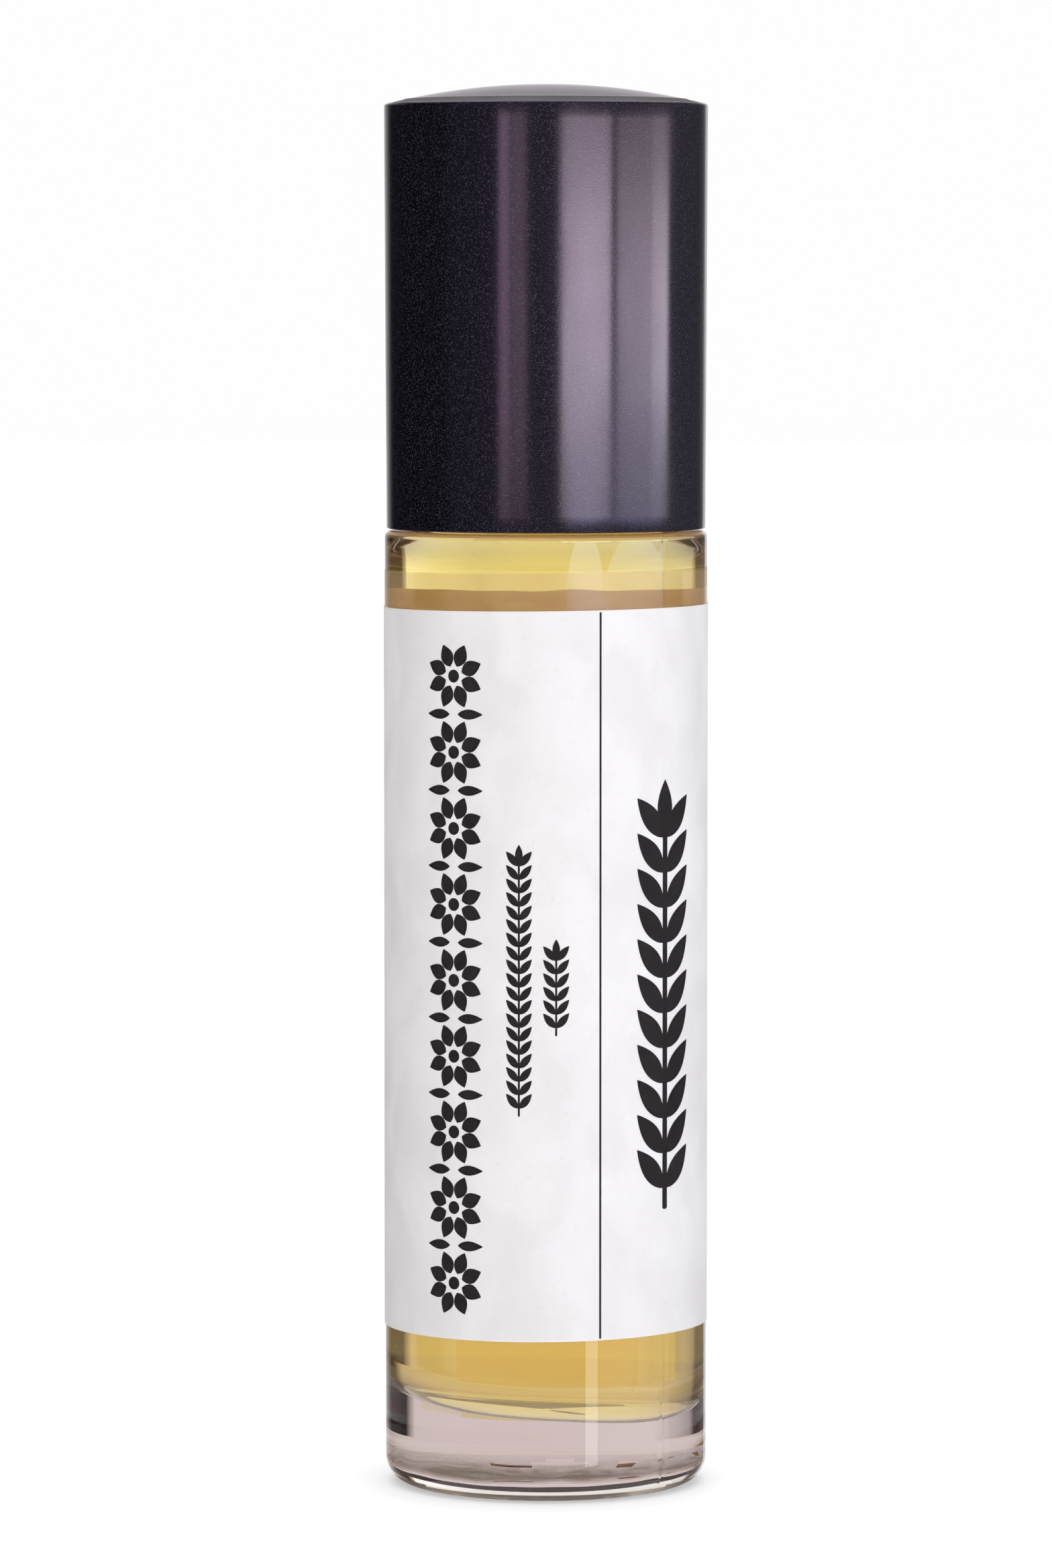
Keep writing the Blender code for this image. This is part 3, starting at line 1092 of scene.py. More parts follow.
@dataclass
class RollerFitment:
    """The roller ball and the housing that is pressed into the neck.

    Attributes hold its sizes. Heights are above the table, shares are of the socket's radius or the lip's
    width, and the roll is how far the lip's edge turns in, in degrees.
    """

    neck_top: float = 0.0696
    ball_height: float = 0.0727849
    ball_radius: float = 0.0048
    clearance: float = 0.00015
    feed_share: float = 0.79
    lip_share: float = 0.48
    cup_wall: float = 0.0012
    lip_width: float = 0.0013
    lip_drop: float = 0.28
    lip_roll: float = 118.0
    cup_foot: float = 0.0008
    plug_radius: float = 0.0057
    plug_wall: float = 0.0009
    plug_length: float = 0.0055
    plug_round: float = 0.0004
    bore_ease: float = 0.00015
    ribs: int = 3
    rib_half: float = 0.0003
    rib_rise: float = 0.0001
    flange_radius: float = 0.0069
    flange_gap: float = 0.0002
    flange: float = 0.0012
    fillet: float = 0.00025
    segments: int = 144
    plastic: MouldedPlastic = MouldedPlastic(
        "natural_polyethylene",
        colour=(0.80, 0.81, 0.80),
        fleck=(0.86, 0.87, 0.86),
        roughness=(0.34, 0.46),
        glow=0.35,
    )
    steel: PolishedSteel = PolishedSteel()

    def housing_outline(self) -> list[Point]:
        """The housing's section.

        Returns:
            The points, from the lip round the ball down the outside and up the socket.
        """
        top, socket = self.neck_top, self.ball_radius + self.clearance
        cup = socket + self.cup_wall
        lip_height = self.ball_height + self.lip_share * socket
        lip_radius = socket * math.sqrt(1 - self.lip_share**2)
        seat = -math.degrees(math.acos(self.feed_share))
        flange_top = top + self.flange_gap + self.flange
        ribs = []
        for i in range(self.ribs):
            middle = top - self.plug_length * (i + 1) / (self.ribs + 1)
            for k in range(7):
                rise = self.rib_rise * math.sin(math.pi * k / 6)
                ribs.append((self.plug_radius + rise, middle + self.rib_half * (1 - k / 3)))
        bore = self.plug_radius - self.plug_wall
        lip = (lip_radius + self.lip_width / 2, lip_height - self.lip_width * self.lip_drop)
        foot = (self.plug_radius - self.plug_wall / 2, top - self.plug_length + self.plug_round)
        return [
            *arc(lip, self.lip_width / 2, self.lip_roll, 0, 8),
            *straight((cup, self.ball_height + self.cup_foot), (cup, flange_top + self.fillet), 3),
            *arc((cup + self.fillet, flange_top + self.fillet), self.fillet, 180, 270, 4),
            *arc((self.flange_radius - self.fillet, flange_top - self.fillet), self.fillet, 90, 0, 4),
            (self.flange_radius, top + self.flange_gap),
            (self.plug_radius, top + self.flange_gap),
            *ribs,
            *arc(foot, self.plug_wall / 2, 0, -180, 8),
            (bore, top + self.bore_ease - self.plug_wall),
            *arc((0.0, self.ball_height), socket, seat, math.degrees(math.asin(self.lip_share)), 20),
        ]

    def build(self) -> list[bpy.types.Object]:
        """Makes the housing and the ball.

        Returns:
            The housing, then the ball.
        """
        turns = azimuths(self.segments)
        housing = Turning("roller_housing", self.housing_outline(), turns, closed=True).build()
        dress(housing, self.plastic)
        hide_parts("ball_housing")
        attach(housing, Body.BOTTLE.value)
        meridian = arc((0.0, self.ball_height), self.ball_radius, 90, -90, 64)
        meridian = [(max(0.0, radius), height) for radius, height in meridian]
        meridian[0], meridian[-1] = (0.0, meridian[0][1]), (0.0, meridian[-1][1])
        ball = Turning("steel_ball", meridian, azimuths(128)).build()
        dress(ball, self.steel)
        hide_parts("roller_ball")
        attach(ball, Body.BALL.value)
        return [housing, ball]


@dataclass
class ScrewCap:
    """The tall black cap and the seal inside it.

    Attributes hold its sizes. Heights are above the table, with the cap screwed down. The ring is a fine bead
    round the domed top, and the gate is the mark in its middle where the plastic came in.
    """

    foot: float = 0.0592
    radius: float = 0.009965
    foot_radius: float = 0.009835
    inner_radius: float = 0.0085
    ceiling: float = 0.0836349
    ceiling_fillet: float = 0.0004
    rim_height: float = 0.0852949
    dome_rise: float = 0.00120
    rim_fillet: float = 0.00018
    edge_fillet: float = 0.00010
    ring_inset: float = 0.00131
    ring_width: float = 0.00036
    ring_rise: float = 0.00003
    gate_radius: float = 0.00042
    gate_depth: float = 0.00013
    gate_edge: float = 0.0007
    segments: int = 192
    thread: Thread = field(default_factory=lambda: Thread(0.0611, rise=0.00086))
    seal_radius: float = 0.0083
    seal_top: float = 0.0834349
    seal_disc: float = 0.0012
    seal_foot: float = 0.0753609
    seal_bore: float = 0.004642
    seal_wall: float = 0.0009
    seal_fillet: float = 0.00015
    plastic: MouldedPlastic = MouldedPlastic(
        "black_satin_plastic",
        colour=(0.0028, 0.0032, 0.0060),
        fleck=(0.062, 0.054, 0.076),
        roughness=(0.14, 0.20),
        shine=(1.0, 0.82, 1.0),
        shine_level=0.68,
        grain=0.00008,
        grain_depth=0.0000013,
        streak=0.0000010,
    )
    rim_plastic: MouldedPlastic = MouldedPlastic(
        "black_matt_rim",
        colour=(0.0075, 0.0068, 0.0110),
        fleck=(0.014, 0.012, 0.018),
        roughness=(0.46, 0.58),
        shine=(1.0, 0.84, 1.0),
        grain=0.00012,
        grain_depth=0.0000016,
    )
    seal_plastic: MouldedPlastic = MouldedPlastic(
        "white_polyethylene",
        colour=(0.83, 0.83, 0.82),
        fleck=(0.88, 0.88, 0.87),
        roughness=(0.38, 0.50),
        glow=0.3,
    )

    def dome(self, radius: float) -> float:
        """Height of the domed top.

        Args:
            radius: Distance from the axis.

        Returns:
            The height there.
        """
        rim = self.radius - self.rim_fillet
        sphere = (rim**2 + self.dome_rise**2) / (2 * self.dome_rise)
        return self.rim_height + self.dome_rise - (sphere - math.sqrt(sphere**2 - radius**2))

    def outside(self) -> list[Point]:
        """The section of the outside.

        Returns:
            The points, from the middle of the top down to the open edge.
        """
        ring, rim = self.radius - self.ring_inset, self.radius - self.rim_fillet
        half = self.ring_width / 2
        gate, bead = [], []
        for i in range(7):
            sunk = self.gate_depth * (1 - smooth_step(i / 6))
            gate.append((self.gate_radius * i / 6, self.dome(0.0) - sunk))
        top = [(r, self.dome(r)) for r, _ in straight((self.gate_edge, 0.0), (ring - half, 0.0), 22)]
        for i in range(1, 8):
            radius = ring - half + self.ring_width * i / 8
            bead.append((radius, self.dome(radius) + self.ring_rise * math.sin(math.pi * i / 8)))
        edge = [(r, self.dome(r)) for r, _ in straight((ring + half, 0.0), (rim, 0.0), 4)][:-1]
        corner = arc((rim, self.dome(rim) - self.rim_fillet), self.rim_fillet, 84, 0, 7)
        low = (self.foot_radius - self.edge_fillet, self.foot + self.edge_fillet)
        wall = straight(corner[-1], (self.foot_radius, low[1]), 28)[1:-1]
        return [*gate, *top, *bead, *edge, *corner, *wall, *arc(low, self.edge_fillet, 0, -90, 6)]

    def build(self) -> list[bpy.types.Object]:
        """Makes the shell and the seal.

        Returns:
            The shell, then the seal.
        """
        outside = self.outside()
        thread_low, thread_high = self.thread.span
        inner, round_off = self.inner_radius, self.ceiling_fillet
        inside = [
            *arc((inner + self.edge_fillet, self.foot + self.edge_fillet), self.edge_fillet, -90, -180, 5),
            *straight((inner, thread_low), (inner, thread_high), 60),
            *straight((inner, thread_high), (inner, self.ceiling - round_off), 12)[1:],
            *arc((inner - round_off, self.ceiling - round_off), round_off, 0, 90, 5)[1:],
            (0.0, self.ceiling),
        ]

        def reshape(index: int, azimuth: float, radius: float, height: float) -> Point:
            """Raises the inside thread towards the neck.

            Args:
                index: Which point of the section it is.
                azimuth: Its azimuth.
                radius: Its radius.
                height: Its height.

            Returns:
                Its new radius, and its height.
            """
            inward = index >= len(outside) and abs(radius - inner) < TOLERANCE
            if inward and thread_low < height < thread_high:
                return radius - self.thread.stands(azimuth, height), height
            return radius, height

        turns = azimuths(self.segments)
        shell = Turning("cap_body", [*outside, *inside], turns, reshape=reshape).build()
        dress(shell, self.plastic, self.rim_plastic)
        matt_from = self.radius - self.ring_inset + self.ring_width / 4
        for polygon in shell.data.polygons:
            reach = math.hypot(polygon.center.x, polygon.center.y)
            if polygon.center.z > self.rim_height and reach > matt_from:
                polygon.material_index = 1
        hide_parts("cap_shell")
        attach(shell, Body.CAP.value)
        under, outer = self.seal_top - self.seal_disc, self.seal_bore + self.seal_wall
        fillet = self.seal_fillet
        outline = [(0.0, self.seal_top)]
        for radius, height, first, last in (
            (self.seal_radius - fillet, self.seal_top - fillet, 90, 0),
            (self.seal_radius - fillet, under + fillet, 0, -90),
            (outer + fillet, under - fillet, 90, 180),
            (outer - fillet, self.seal_foot + fillet, 0, -90),
            (self.seal_bore + fillet, self.seal_foot + fillet, -90, -180),
        ):
            outline += arc((radius, height), fillet, first, last, 4)
        outline += [(self.seal_bore, under - fillet), (self.seal_bore - fillet, under), (0.0, under)]
        seal = Turning("cap_seal", outline, azimuths(128)).build()
        dress(seal, self.seal_plastic)
        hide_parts("cap_liner")
        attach(seal, Body.SEAL.value)
        return [shell, seal]


@dataclass
class WrapLabel:
    """The white label round the body and the clear film over it.

    Attributes hold its sizes. The tilt is how far it rises towards the right for each metre across. The grip
    is how far the gum reaches into the glass's surface, so that no air shows between them. The higher back
    starts at a cosine behind the bottle and is whole a span further on.
    """

    paper_inside: float = 0.009968
    grip: float = 0.000014
    paper: float = 0.00005
    gap: float = 0.000010
    film: float = 0.000016
    foot: float = 0.0100
    top: float = 0.0545
    film_top: float = 0.05678
    film_ease: float = 0.001
    back_rise: float = 0.00070
    back_start: float = 0.15
    back_span: float = 0.60
    ragged: tuple[Wave, ...] = ((0.06, 23, 0.0, 0.0), (0.05, 41, 0.0, 1.1))
    tilt: float = 0.0100
    seam: float = math.radians(-132)
    seam_gap: float = 0.00025
    painted_shade_depth: float = 0.002
    edge_steepness: float = 0.7
    seam_area: float = 1e-5
    segments: int = 240
    stock: LabelStock = LabelStock()
    edge: CutPaper = CutPaper()
    back: GumAndShadeBack = GumAndShadeBack()
    clear: ThinFilm = ThinFilm("clear_film", (0.80, 0.79, 0.78), 0.008)
    # Painted shade: the film's rear band above the label takes a brown veil for the label's shaded back seen
    # through the bottle.
    shaded_film_edge: ThinFilm = ThinFilm("film_edge_painted_shade", (0.50, 0.29, 0.13), 0.17)

    @property
    def paper_outside(self) -> float:
        """Radius of the label's printed face."""
        return self.paper_inside + self.paper

    def turns(self) -> list[float]:
        """Azimuths of the wrap.

        Returns:
            The azimuths, from one side of its seam to the other.
        """
        half = self.seam_gap / self.paper_outside / 2
        first, last = self.seam + half, self.seam + math.tau - half
        return [first + (last - first) * i / self.segments for i in range(self.segments + 1)]

    def tilted(self, index: int, azimuth: float, radius: float, height: float) -> Point:
        """Moves a point of the wrap by its slight tilt and its higher back.

        Args:
            index: Which point of the section it is.
            azimuth: Its azimuth.
            radius: Its radius.
            height: Its height on an even wrap.

        Returns:
            Its radius and its new height.
        """
        behind = smooth_step((-math.cos(azimuth) - self.back_start) / self.back_span)
        up, down = (height - self.foot) / (self.top - self.foot), self.film_top - height
        share = max(0.0, min(up, down / (self.film_top - self.top)))
        rise = self.back_rise * behind * share * (1 + waves(self.ragged, azimuth))
        return radius, height + self.tilt * radius * math.sin(azimuth) + rise

    def build(self) -> list[bpy.types.Object]:
        """Makes the label and the film.

        Returns:
            The label, then the film.
        """
        inside, outside = self.paper_inside, self.paper_outside
        face = straight((outside, self.top), (outside, self.foot), 24)
        back = straight((inside - self.grip, self.foot), (inside - self.grip, self.top), 24)
        label = Turning("label_wrap", [*face, *back], self.turns(), True, False, self.tilted).build()
        dress(label, self.stock, self.edge, self.back)
        for polygon in label.data.polygons:
            if abs(polygon.normal.z) > self.edge_steepness or polygon.area > self.seam_area:
                polygon.material_index = 1
            elif polygon.normal.dot(Vector((*polygon.center.xy, 0.0))) < 0:
                # The inner faces take the gum tint with its painted shade.
                polygon.material_index = 2
        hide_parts("label_paper")
        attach(label, Body.BOTTLE.value)
        low, step, ease = outside + self.gap, self.top + self.gap, self.top - self.film_ease
        outline = [
            (inside + self.film, self.film_top),
            (inside + self.film, step + self.paper * 2),
            (low + self.film, step + self.film),
            *straight((low + self.film, ease), (low + self.film, self.foot), 20),
            *straight((low, self.foot), (low, ease), 20),
            (low, step),
            (inside, step + self.paper * 2),
            (inside, self.film_top),
        ]
        film = Turning("film_wrap", outline, self.turns(), True, False, self.tilted).build()
        dress(film, self.clear, self.shaded_film_edge)
        for polygon in film.data.polygons:
            centre = polygon.center
            # Film behind the bottle, above the label's top, takes the brown painted shade.
            if centre.z - self.tilt * centre.x > self.top and centre.y < self.painted_shade_depth:
                polygon.material_index = 1
        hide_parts("label_film")
        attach(film, Body.BOTTLE.value)
        return [label, film]


@dataclass
class LabelPrint:
    """The label's ornament: a bold border, two small sprigs, a fine rule and a large branch.

    Attributes:
        label: The label that carries it.
        lift: How far the ink stands off the paper.
        facet: Widest flat strip of ink on the round label.
        blunt: Share of a bar's half width that its corners lose.
        fullness: What makes a leaf widest near its root, and how round its sides are.
        core: Share of a flower that lies inside its petals.
        dot: Share of the core that its dot fills.
        petal_root: Where the petals begin, as a share of the core.
        petal_width: Share of their room that the petals fill.
        pair: For the leaves between flowers, how far they start from the border's middle line, how much
            shorter than half its width they are, and how wide they are.
        sprig_angle: How far a sprig's leaves lean out, in degrees.
        sprig_leaf: Width of a sprig's leaves as a share of their length.
        sprig_root: Where they start, as shares of the stem's width and of the pitch.
        sprig_tip: Length of the leaf at its tip beside the others.
        rule_width: Width of the upright rule.
        rule_inset: How far it ends from the label's edges.
        finish: The ink.
    """

    label: WrapLabel
    lift: float = 0.000004
    facet: float = 0.00030
    blunt: float = 0.45
    fullness: Point = (0.85, 0.9)
    core: float = 0.24
    dot: float = 0.82
    petal_root: float = 1.25
    petal_width: float = 0.60
    pair: tuple[float, float, float] = (0.00028, 0.00030, 0.00062)
    sprig_angle: float = 40.0
    sprig_leaf: float = 0.40
    sprig_root: Point = (0.3, 0.6)
    sprig_tip: float = 0.95
    rule_width: float = 0.00013
    rule_inset: float = 0.0001
    finish: PrintedInk = PrintedInk()

    def bar(self, centre: Point, width: float, height: float) -> Polygon:
        """An upright or flat bar with its corners taken off.

        Args:
            centre: Its middle.
            width: Its width.
            height: Its height.

        Returns:
            Its outline.
        """
        x, y = width / 2, height / 2
        off = min(x, y) * self.blunt
        upper = [(x, y - off), (x - off, y), (off - x, y), (-x, y - off)]
        lower = [(-x, off - y), (off - x, -y), (x - off, -y), (x, off - y)]
        return [(centre[0] + a, centre[1] + b) for a, b in upper + lower]

    def leaf(self, root: Point, angle: float, length: float, width: float) -> Polygon:
        """A pointed leaf.

        Args:
            root: Where it leaves its stem.
            angle: Its direction, in degrees from straight up towards the right.
            length: Its length.
            width: Its width.

        Returns:
            Its outline.
        """
        steps, (early, full) = 10, self.fullness
        along = [i / steps for i in range(steps + 1)]
        half = [width / 2 * math.sin(math.pi * s**early) ** full if 0 < s < 1 else 0.0 for s in along]
        sides = [(w, length * s) for s, w in zip(along, half)]
        sides += [(-w, height) for w, height in reversed(sides[1:-1])]
        turn = math.radians(angle)
        cos, sin = math.cos(turn), math.sin(turn)
        return [(root[0] + x * cos + y * sin, root[1] - x * sin + y * cos) for x, y in sides]

    def disc(self, centre: Point, radius: float, sides: int = 14) -> Polygon:
        """A round dot."""
        turns = [math.tau * i / sides for i in range(sides)]
        return [(centre[0] + radius * math.sin(t), centre[1] + radius * math.cos(t)) for t in turns]

    def rosette(self, centre: Point, radius: float, petals: int) -> list[Polygon]:
        """A flower of pointed petals round a dot.

        Args:
            centre: Its middle.
            radius: Its size.
            petals: How many petals it has.

        Returns:
            Its shapes.
        """
        core = self.core * radius
        wide = 2 * math.sin(math.pi / petals) * radius * self.petal_width
        start = core * self.petal_root
        shapes = [self.disc(centre, core * self.dot)]
        for i in range(petals):
            angle = 360 * (i + 0.5) / petals
            turn = math.radians(angle)
            root = (centre[0] + start * math.sin(turn), centre[1] + start * math.cos(turn))
            shapes.append(self.leaf(root, angle, radius - start, wide))
        return shapes

    def border(self, low: float, high: float, width: float, units: int) -> list[Polygon]:
        """A bold upright border of flowers with pairs of leaves between them.

        Args:
            low: Height of its lower end.
            high: Height of its upper end.
            width: Its width.
            units: How many flowers it has.

        Returns:
            Its shapes.
        """
        radius = width / 2
        start, short, leaf = self.pair
        pitch = (high - low - width) / (units - 1)
        shapes: list[Polygon] = []
        for i in range(units):
            middle = low + radius + pitch * i
            shapes += self.rosette((0.0, middle), radius, 8)
            if i < units - 1:
                for side in (-1, 1):
                    root = (side * start, middle + pitch / 2)
                    shapes.append(self.leaf(root, side * 90, radius - short, leaf))
        return shapes

    def sprig(self, low: float, high: float, leaf: float, pitch: float, stem: float) -> list[Polygon]:
        """An upright stem with leaves in pairs.

        Args:
            low: Height of its foot.
            high: Height of its tip.
            leaf: Length of a leaf.
            pitch: Distance between pairs of leaves.
            stem: Width of the stem.

        Returns:
            Its shapes.
        """
        across, along = self.sprig_root
        pairs = int((high - low - leaf) / pitch)
        top = low + pairs * pitch
        shapes = [self.bar((0.0, (low + top) / 2), stem, top - low)]
        for i in range(pairs):
            height = low + pitch * (i + along)
            for side in (-1, 1):
                root = (side * stem * across, height)
                shapes.append(self.leaf(root, side * self.sprig_angle, leaf, leaf * self.sprig_leaf))
        shapes.append(self.leaf((0.0, top - stem), 0.0, leaf * self.sprig_tip, leaf * self.sprig_leaf))
        return shapes

    def piece(self, name: str, azimuth: float, shapes: Sequence[Polygon]) -> bpy.types.Object:
        """Lays flat shapes on the label.

        Args:
            name: The piece's name.
            azimuth: Azimuth of the shapes' upright middle line.
            shapes: Outlines, across and up.

        Returns:
            The inked piece.
        """
        shape = bmesh.new()
        for outline in shapes:
            shape.faces.new([shape.verts.new((across, 0.0, up)) for across, up in outline])
        reach = max(abs(across) for outline in shapes for across, _ in outline)
        cuts = math.ceil(2 * reach / self.facet)
        for i in range(1, cuts):
            across = -reach + 2 * reach * i / cuts
            everything = [*shape.verts, *shape.edges, *shape.faces]
            plane = {"plane_co": (across, 0, 0), "plane_no": (1, 0, 0)}
            bmesh.ops.bisect_plane(shape, geom=everything, dist=TOLERANCE, **plane)
        radius = self.label.paper_outside + self.lift
        for vert in shape.verts:
            turn = azimuth + vert.co.x / radius
            vert.co = around(turn, radius, vert.co.z + self.label.tilt * radius * math.sin(turn))
        shape.normal_update()
        for face in shape.faces:
            middle = face.calc_center_median()
            if face.normal.dot(Vector((middle.x, middle.y, 0.0))) < 0:
                face.normal_flip()
        made = finished(name, shape)
        dress(made, self.finish)
        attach(made, Body.BOTTLE.value)
        return made

    def build(self) -> list[bpy.types.Object]:
        """Prints the ornament.

        Returns:
            The inked pieces, from left to right.
        """
        foot, top = self.label.foot, self.label.top
        rule = self.bar((0.0, (foot + top) / 2), self.rule_width, top - foot - 2 * self.rule_inset)
        plan = (
            ("print_border", -34.0, self.border(0.0114, 0.0526, 0.0041, 9)),
            ("print_sprig_tall", -9.4, self.sprig(0.0238, 0.0406, 0.00118, 0.00082, 0.00013)),
            ("print_sprig_short", 3.6, self.sprig(0.0287, 0.0353, 0.00118, 0.00082, 0.00013)),
            ("print_rule", 19.3, [rule]),
            ("print_branch", 46.5, self.sprig(0.0177, 0.0464, 0.0033, 0.00215, 0.00042)),
        )
        return [self.piece(name, math.radians(azimuth), shapes) for name, azimuth, shapes in plan]


# The studio


# Lower and upper edges of the cards
WHOLE = (-0.30, 0.34)
ABOVE_BASE = (-0.030, 0.34)
UNDER_BASE = (-0.30, -0.030)
OIL_FOOT = (-0.30, -0.068)
BASE_RIM = (-0.068, -0.030)
BROWN_BAND = (-0.0046, 0.0033)
HEEL = (0.0034, 0.0120)
# Colours of the lamps and the cards
COOL = (0.56, 0.66, 1.0)
WARM = (1.0, 0.98, 0.94)
CARD_BLACK = (0.003, 0.003, 0.003)
PALE = (1.0, 0.96, 1.0)
WARM_WHITE = (1.0, 0.93, 0.90)
HEEL_WHITE = (1.0, 0.92, 0.88)
FAINT_RED = (1.0, 0.86, 0.84)
DEEP_RED = (1.0, 0.5, 0.4)


class Role(Enum):
    """What a lamp or a card is there for."""

    SHINE = "reflections"
    FILL = "even light"
    THROUGH = "clear matter"


@dataclass
class Softbox:
    """A lit panel that faces the bottle.

    Attributes:
        name: The lamp's name.
        azimuth: Where it stands round the bottle, in degrees.
        height: Height of its middle.
        width: Its width.
        tall: Its height from bottom to top.
        radiance: How bright it looks, where 1 is white.
        colour: Its colour.
        distance: How far it stands from the bottle's axis.
        role: Whether reflections show it, or it only fills the shade.
        aim: Height of the point on the axis that it faces.
        oval: Whether it is an oval.
    """

    name: str
    azimuth: float
    height: float
    width: float
    tall: float
    radiance: float
    colour: Colour
    distance: float = LAMP_DISTANCE
    role: Role = Role.SHINE
    aim: float | None = None
    oval: bool = False

    def build(self) -> bpy.types.Object:
        """Makes the lamp.

        Returns:
            The lamp's object.
        """
        lamp = bpy.data.lights.new(self.name, "AREA")
        lamp.shape = "ELLIPSE" if self.oval else "RECTANGLE"
        lamp.size, lamp.size_y = self.width, self.tall
        share = math.pi / 4 if self.oval else 1.0
        lamp.energy = self.radiance * math.pi * self.width * self.tall * share
        lamp.color = self.colour
        made = bpy.data.objects.new(self.name, lamp)
        made.location = around(math.radians(self.azimuth), self.distance, self.height)
        target = Vector((0.0, 0.0, self.height if self.aim is None else self.aim))
        made.rotation_euler = (target - made.location).to_track_quat("-Z", "Y").to_euler()
        made.visible_camera = made.visible_transmission = False
        made.visible_glossy = self.role is not Role.FILL
        bpy.context.scene.collection.objects.link(made)
        return made


def strip(
    name: str,
    first: float,
    last: float,
    low: float,
    top: float,
    radiance: float,
    colour: Colour,
    oval: bool = False,
) -> Softbox:
    """A softbox that fills a stretch of azimuths and heights.

    Args:
        name: The lamp's name.
        first: Azimuth of its left edge, in degrees.
        last: Azimuth of its right edge.
        low: Height of its lower edge.
        top: Height of its upper edge.
        radiance: How bright it looks.
        colour: Its colour.
        oval: Whether it is an oval.

    Returns:
        The softbox.
    """
    width = 2 * LAMP_DISTANCE * math.tan(math.radians(last - first) / 2)
    place = ((first + last) / 2, (low + top) / 2, width, top - low)
    return Softbox(name, *place, radiance, colour, oval=oval)


def tower(name: str, first: float, last: float, share: float) -> list[Softbox]:
    """A tall window of light, brightest in the middle, warm at its top and cool at its foot.

    Args:
        name: The window's name.
        first: Azimuth of its left edge, in degrees.
        last: Azimuth of its right edge.
        share: How bright it is beside the brightest one.

    Returns:
        Its softboxes, upwards.
    """
    panes = (
        (0.0485, 0.0518, 0.15, (0.72, 0.82, 1.0)),
        (0.0518, 0.0555, 1.6, (0.76, 0.86, 1.0)),
        (0.0555, 0.0610, 9.8, (0.84, 0.94, 1.0)),
        (0.0610, 0.0690, 10.6, (0.98, 0.99, 1.0)),
        (0.0690, 0.0770, 9.0, (1.0, 0.97, 1.0)),
        (0.0770, 0.0845, 6.4, (1.0, 0.92, 0.96)),
        (0.0845, 0.0885, 1.6, (1.0, 0.84, 0.93)),
        (0.0885, 0.1080, 0.25, (1.0, 0.84, 0.96)),
    )
    return [
        strip(f"{name}_{i}", first, last, low, top, share * glow, tint)
        for i, (low, top, glow, tint) in enumerate(panes)
    ]


@dataclass
class Flag:
    """A curved card that only reflections, or only clear matter, shows.

    Attributes:
        name: The card's name.
        first: Azimuth of its left edge, in degrees.
        last: Azimuth of its right edge.
        foot: Height of its lower edge.
        top: Height of its upper edge.
        grey: How light the card looks at its left edge.
        colour: Its colour.
        fade: How light it looks at its right edge, if not the same.
        distance: How far it stands from the bottle's axis.
        role: Whether it shows in reflections or through clear matter.
    """

    name: str
    first: float
    last: float
    foot: float
    top: float
    grey: float
    colour: Colour = PALE
    fade: float | None = None
    distance: float = 0.40
    role: Role = Role.THROUGH

    def build(self) -> bpy.types.Object:
        """Makes the card.

        Returns:
            The card, which throws no shadow and isn't seen by the camera.
        """
        shape = bmesh.new()
        steps = max(2, round(abs(self.last - self.first) / 4))
        turns = [math.radians(self.first + (self.last - self.first) * i / steps) for i in range(steps + 1)]
        low = [shape.verts.new(around(turn, self.distance, self.foot)) for turn in turns]
        high = [shape.verts.new(around(turn, self.distance, self.top)) for turn in turns]
        for i in range(steps):
            shape.faces.new((low[i], low[i + 1], high[i + 1], high[i]))
        made = finished(self.name, shape)
        shading = Shading(self.name)
        shading.put(Base_Color=CARD_BLACK, Roughness=1.0, Specular_IOR_Level=0.0)
        shading.put(Emission_Color=self.colour, Emission_Strength=self.grey)
        if self.fade is not None:
            parts = shading.node("SeparateXYZ", shading.place).outputs
            back = shading.node("Math", parts["Y"], operation="MULTIPLY")
            back.inputs[1].default_value = -1.0
            turn = shading.node("Math", parts["X"], back.outputs["Value"], operation="ARCTAN2")
            ends = {"From_Min": math.radians(self.first), "From_Max": math.radians(self.last)}
            span = shading.node("MapRange", turn.outputs[0], **ends, To_Min=self.grey, To_Max=self.fade)
            shading.link(span.outputs["Result"], shading.shader.inputs["Emission Strength"])
        shading.material.cycles.emission_sampling = "NONE"
        made.data.materials.append(shading.material)
        made.visible_camera = made.visible_diffuse = made.visible_shadow = False
        made.visible_glossy = self.role is Role.SHINE
        made.visible_transmission = self.role is Role.THROUGH
        return made


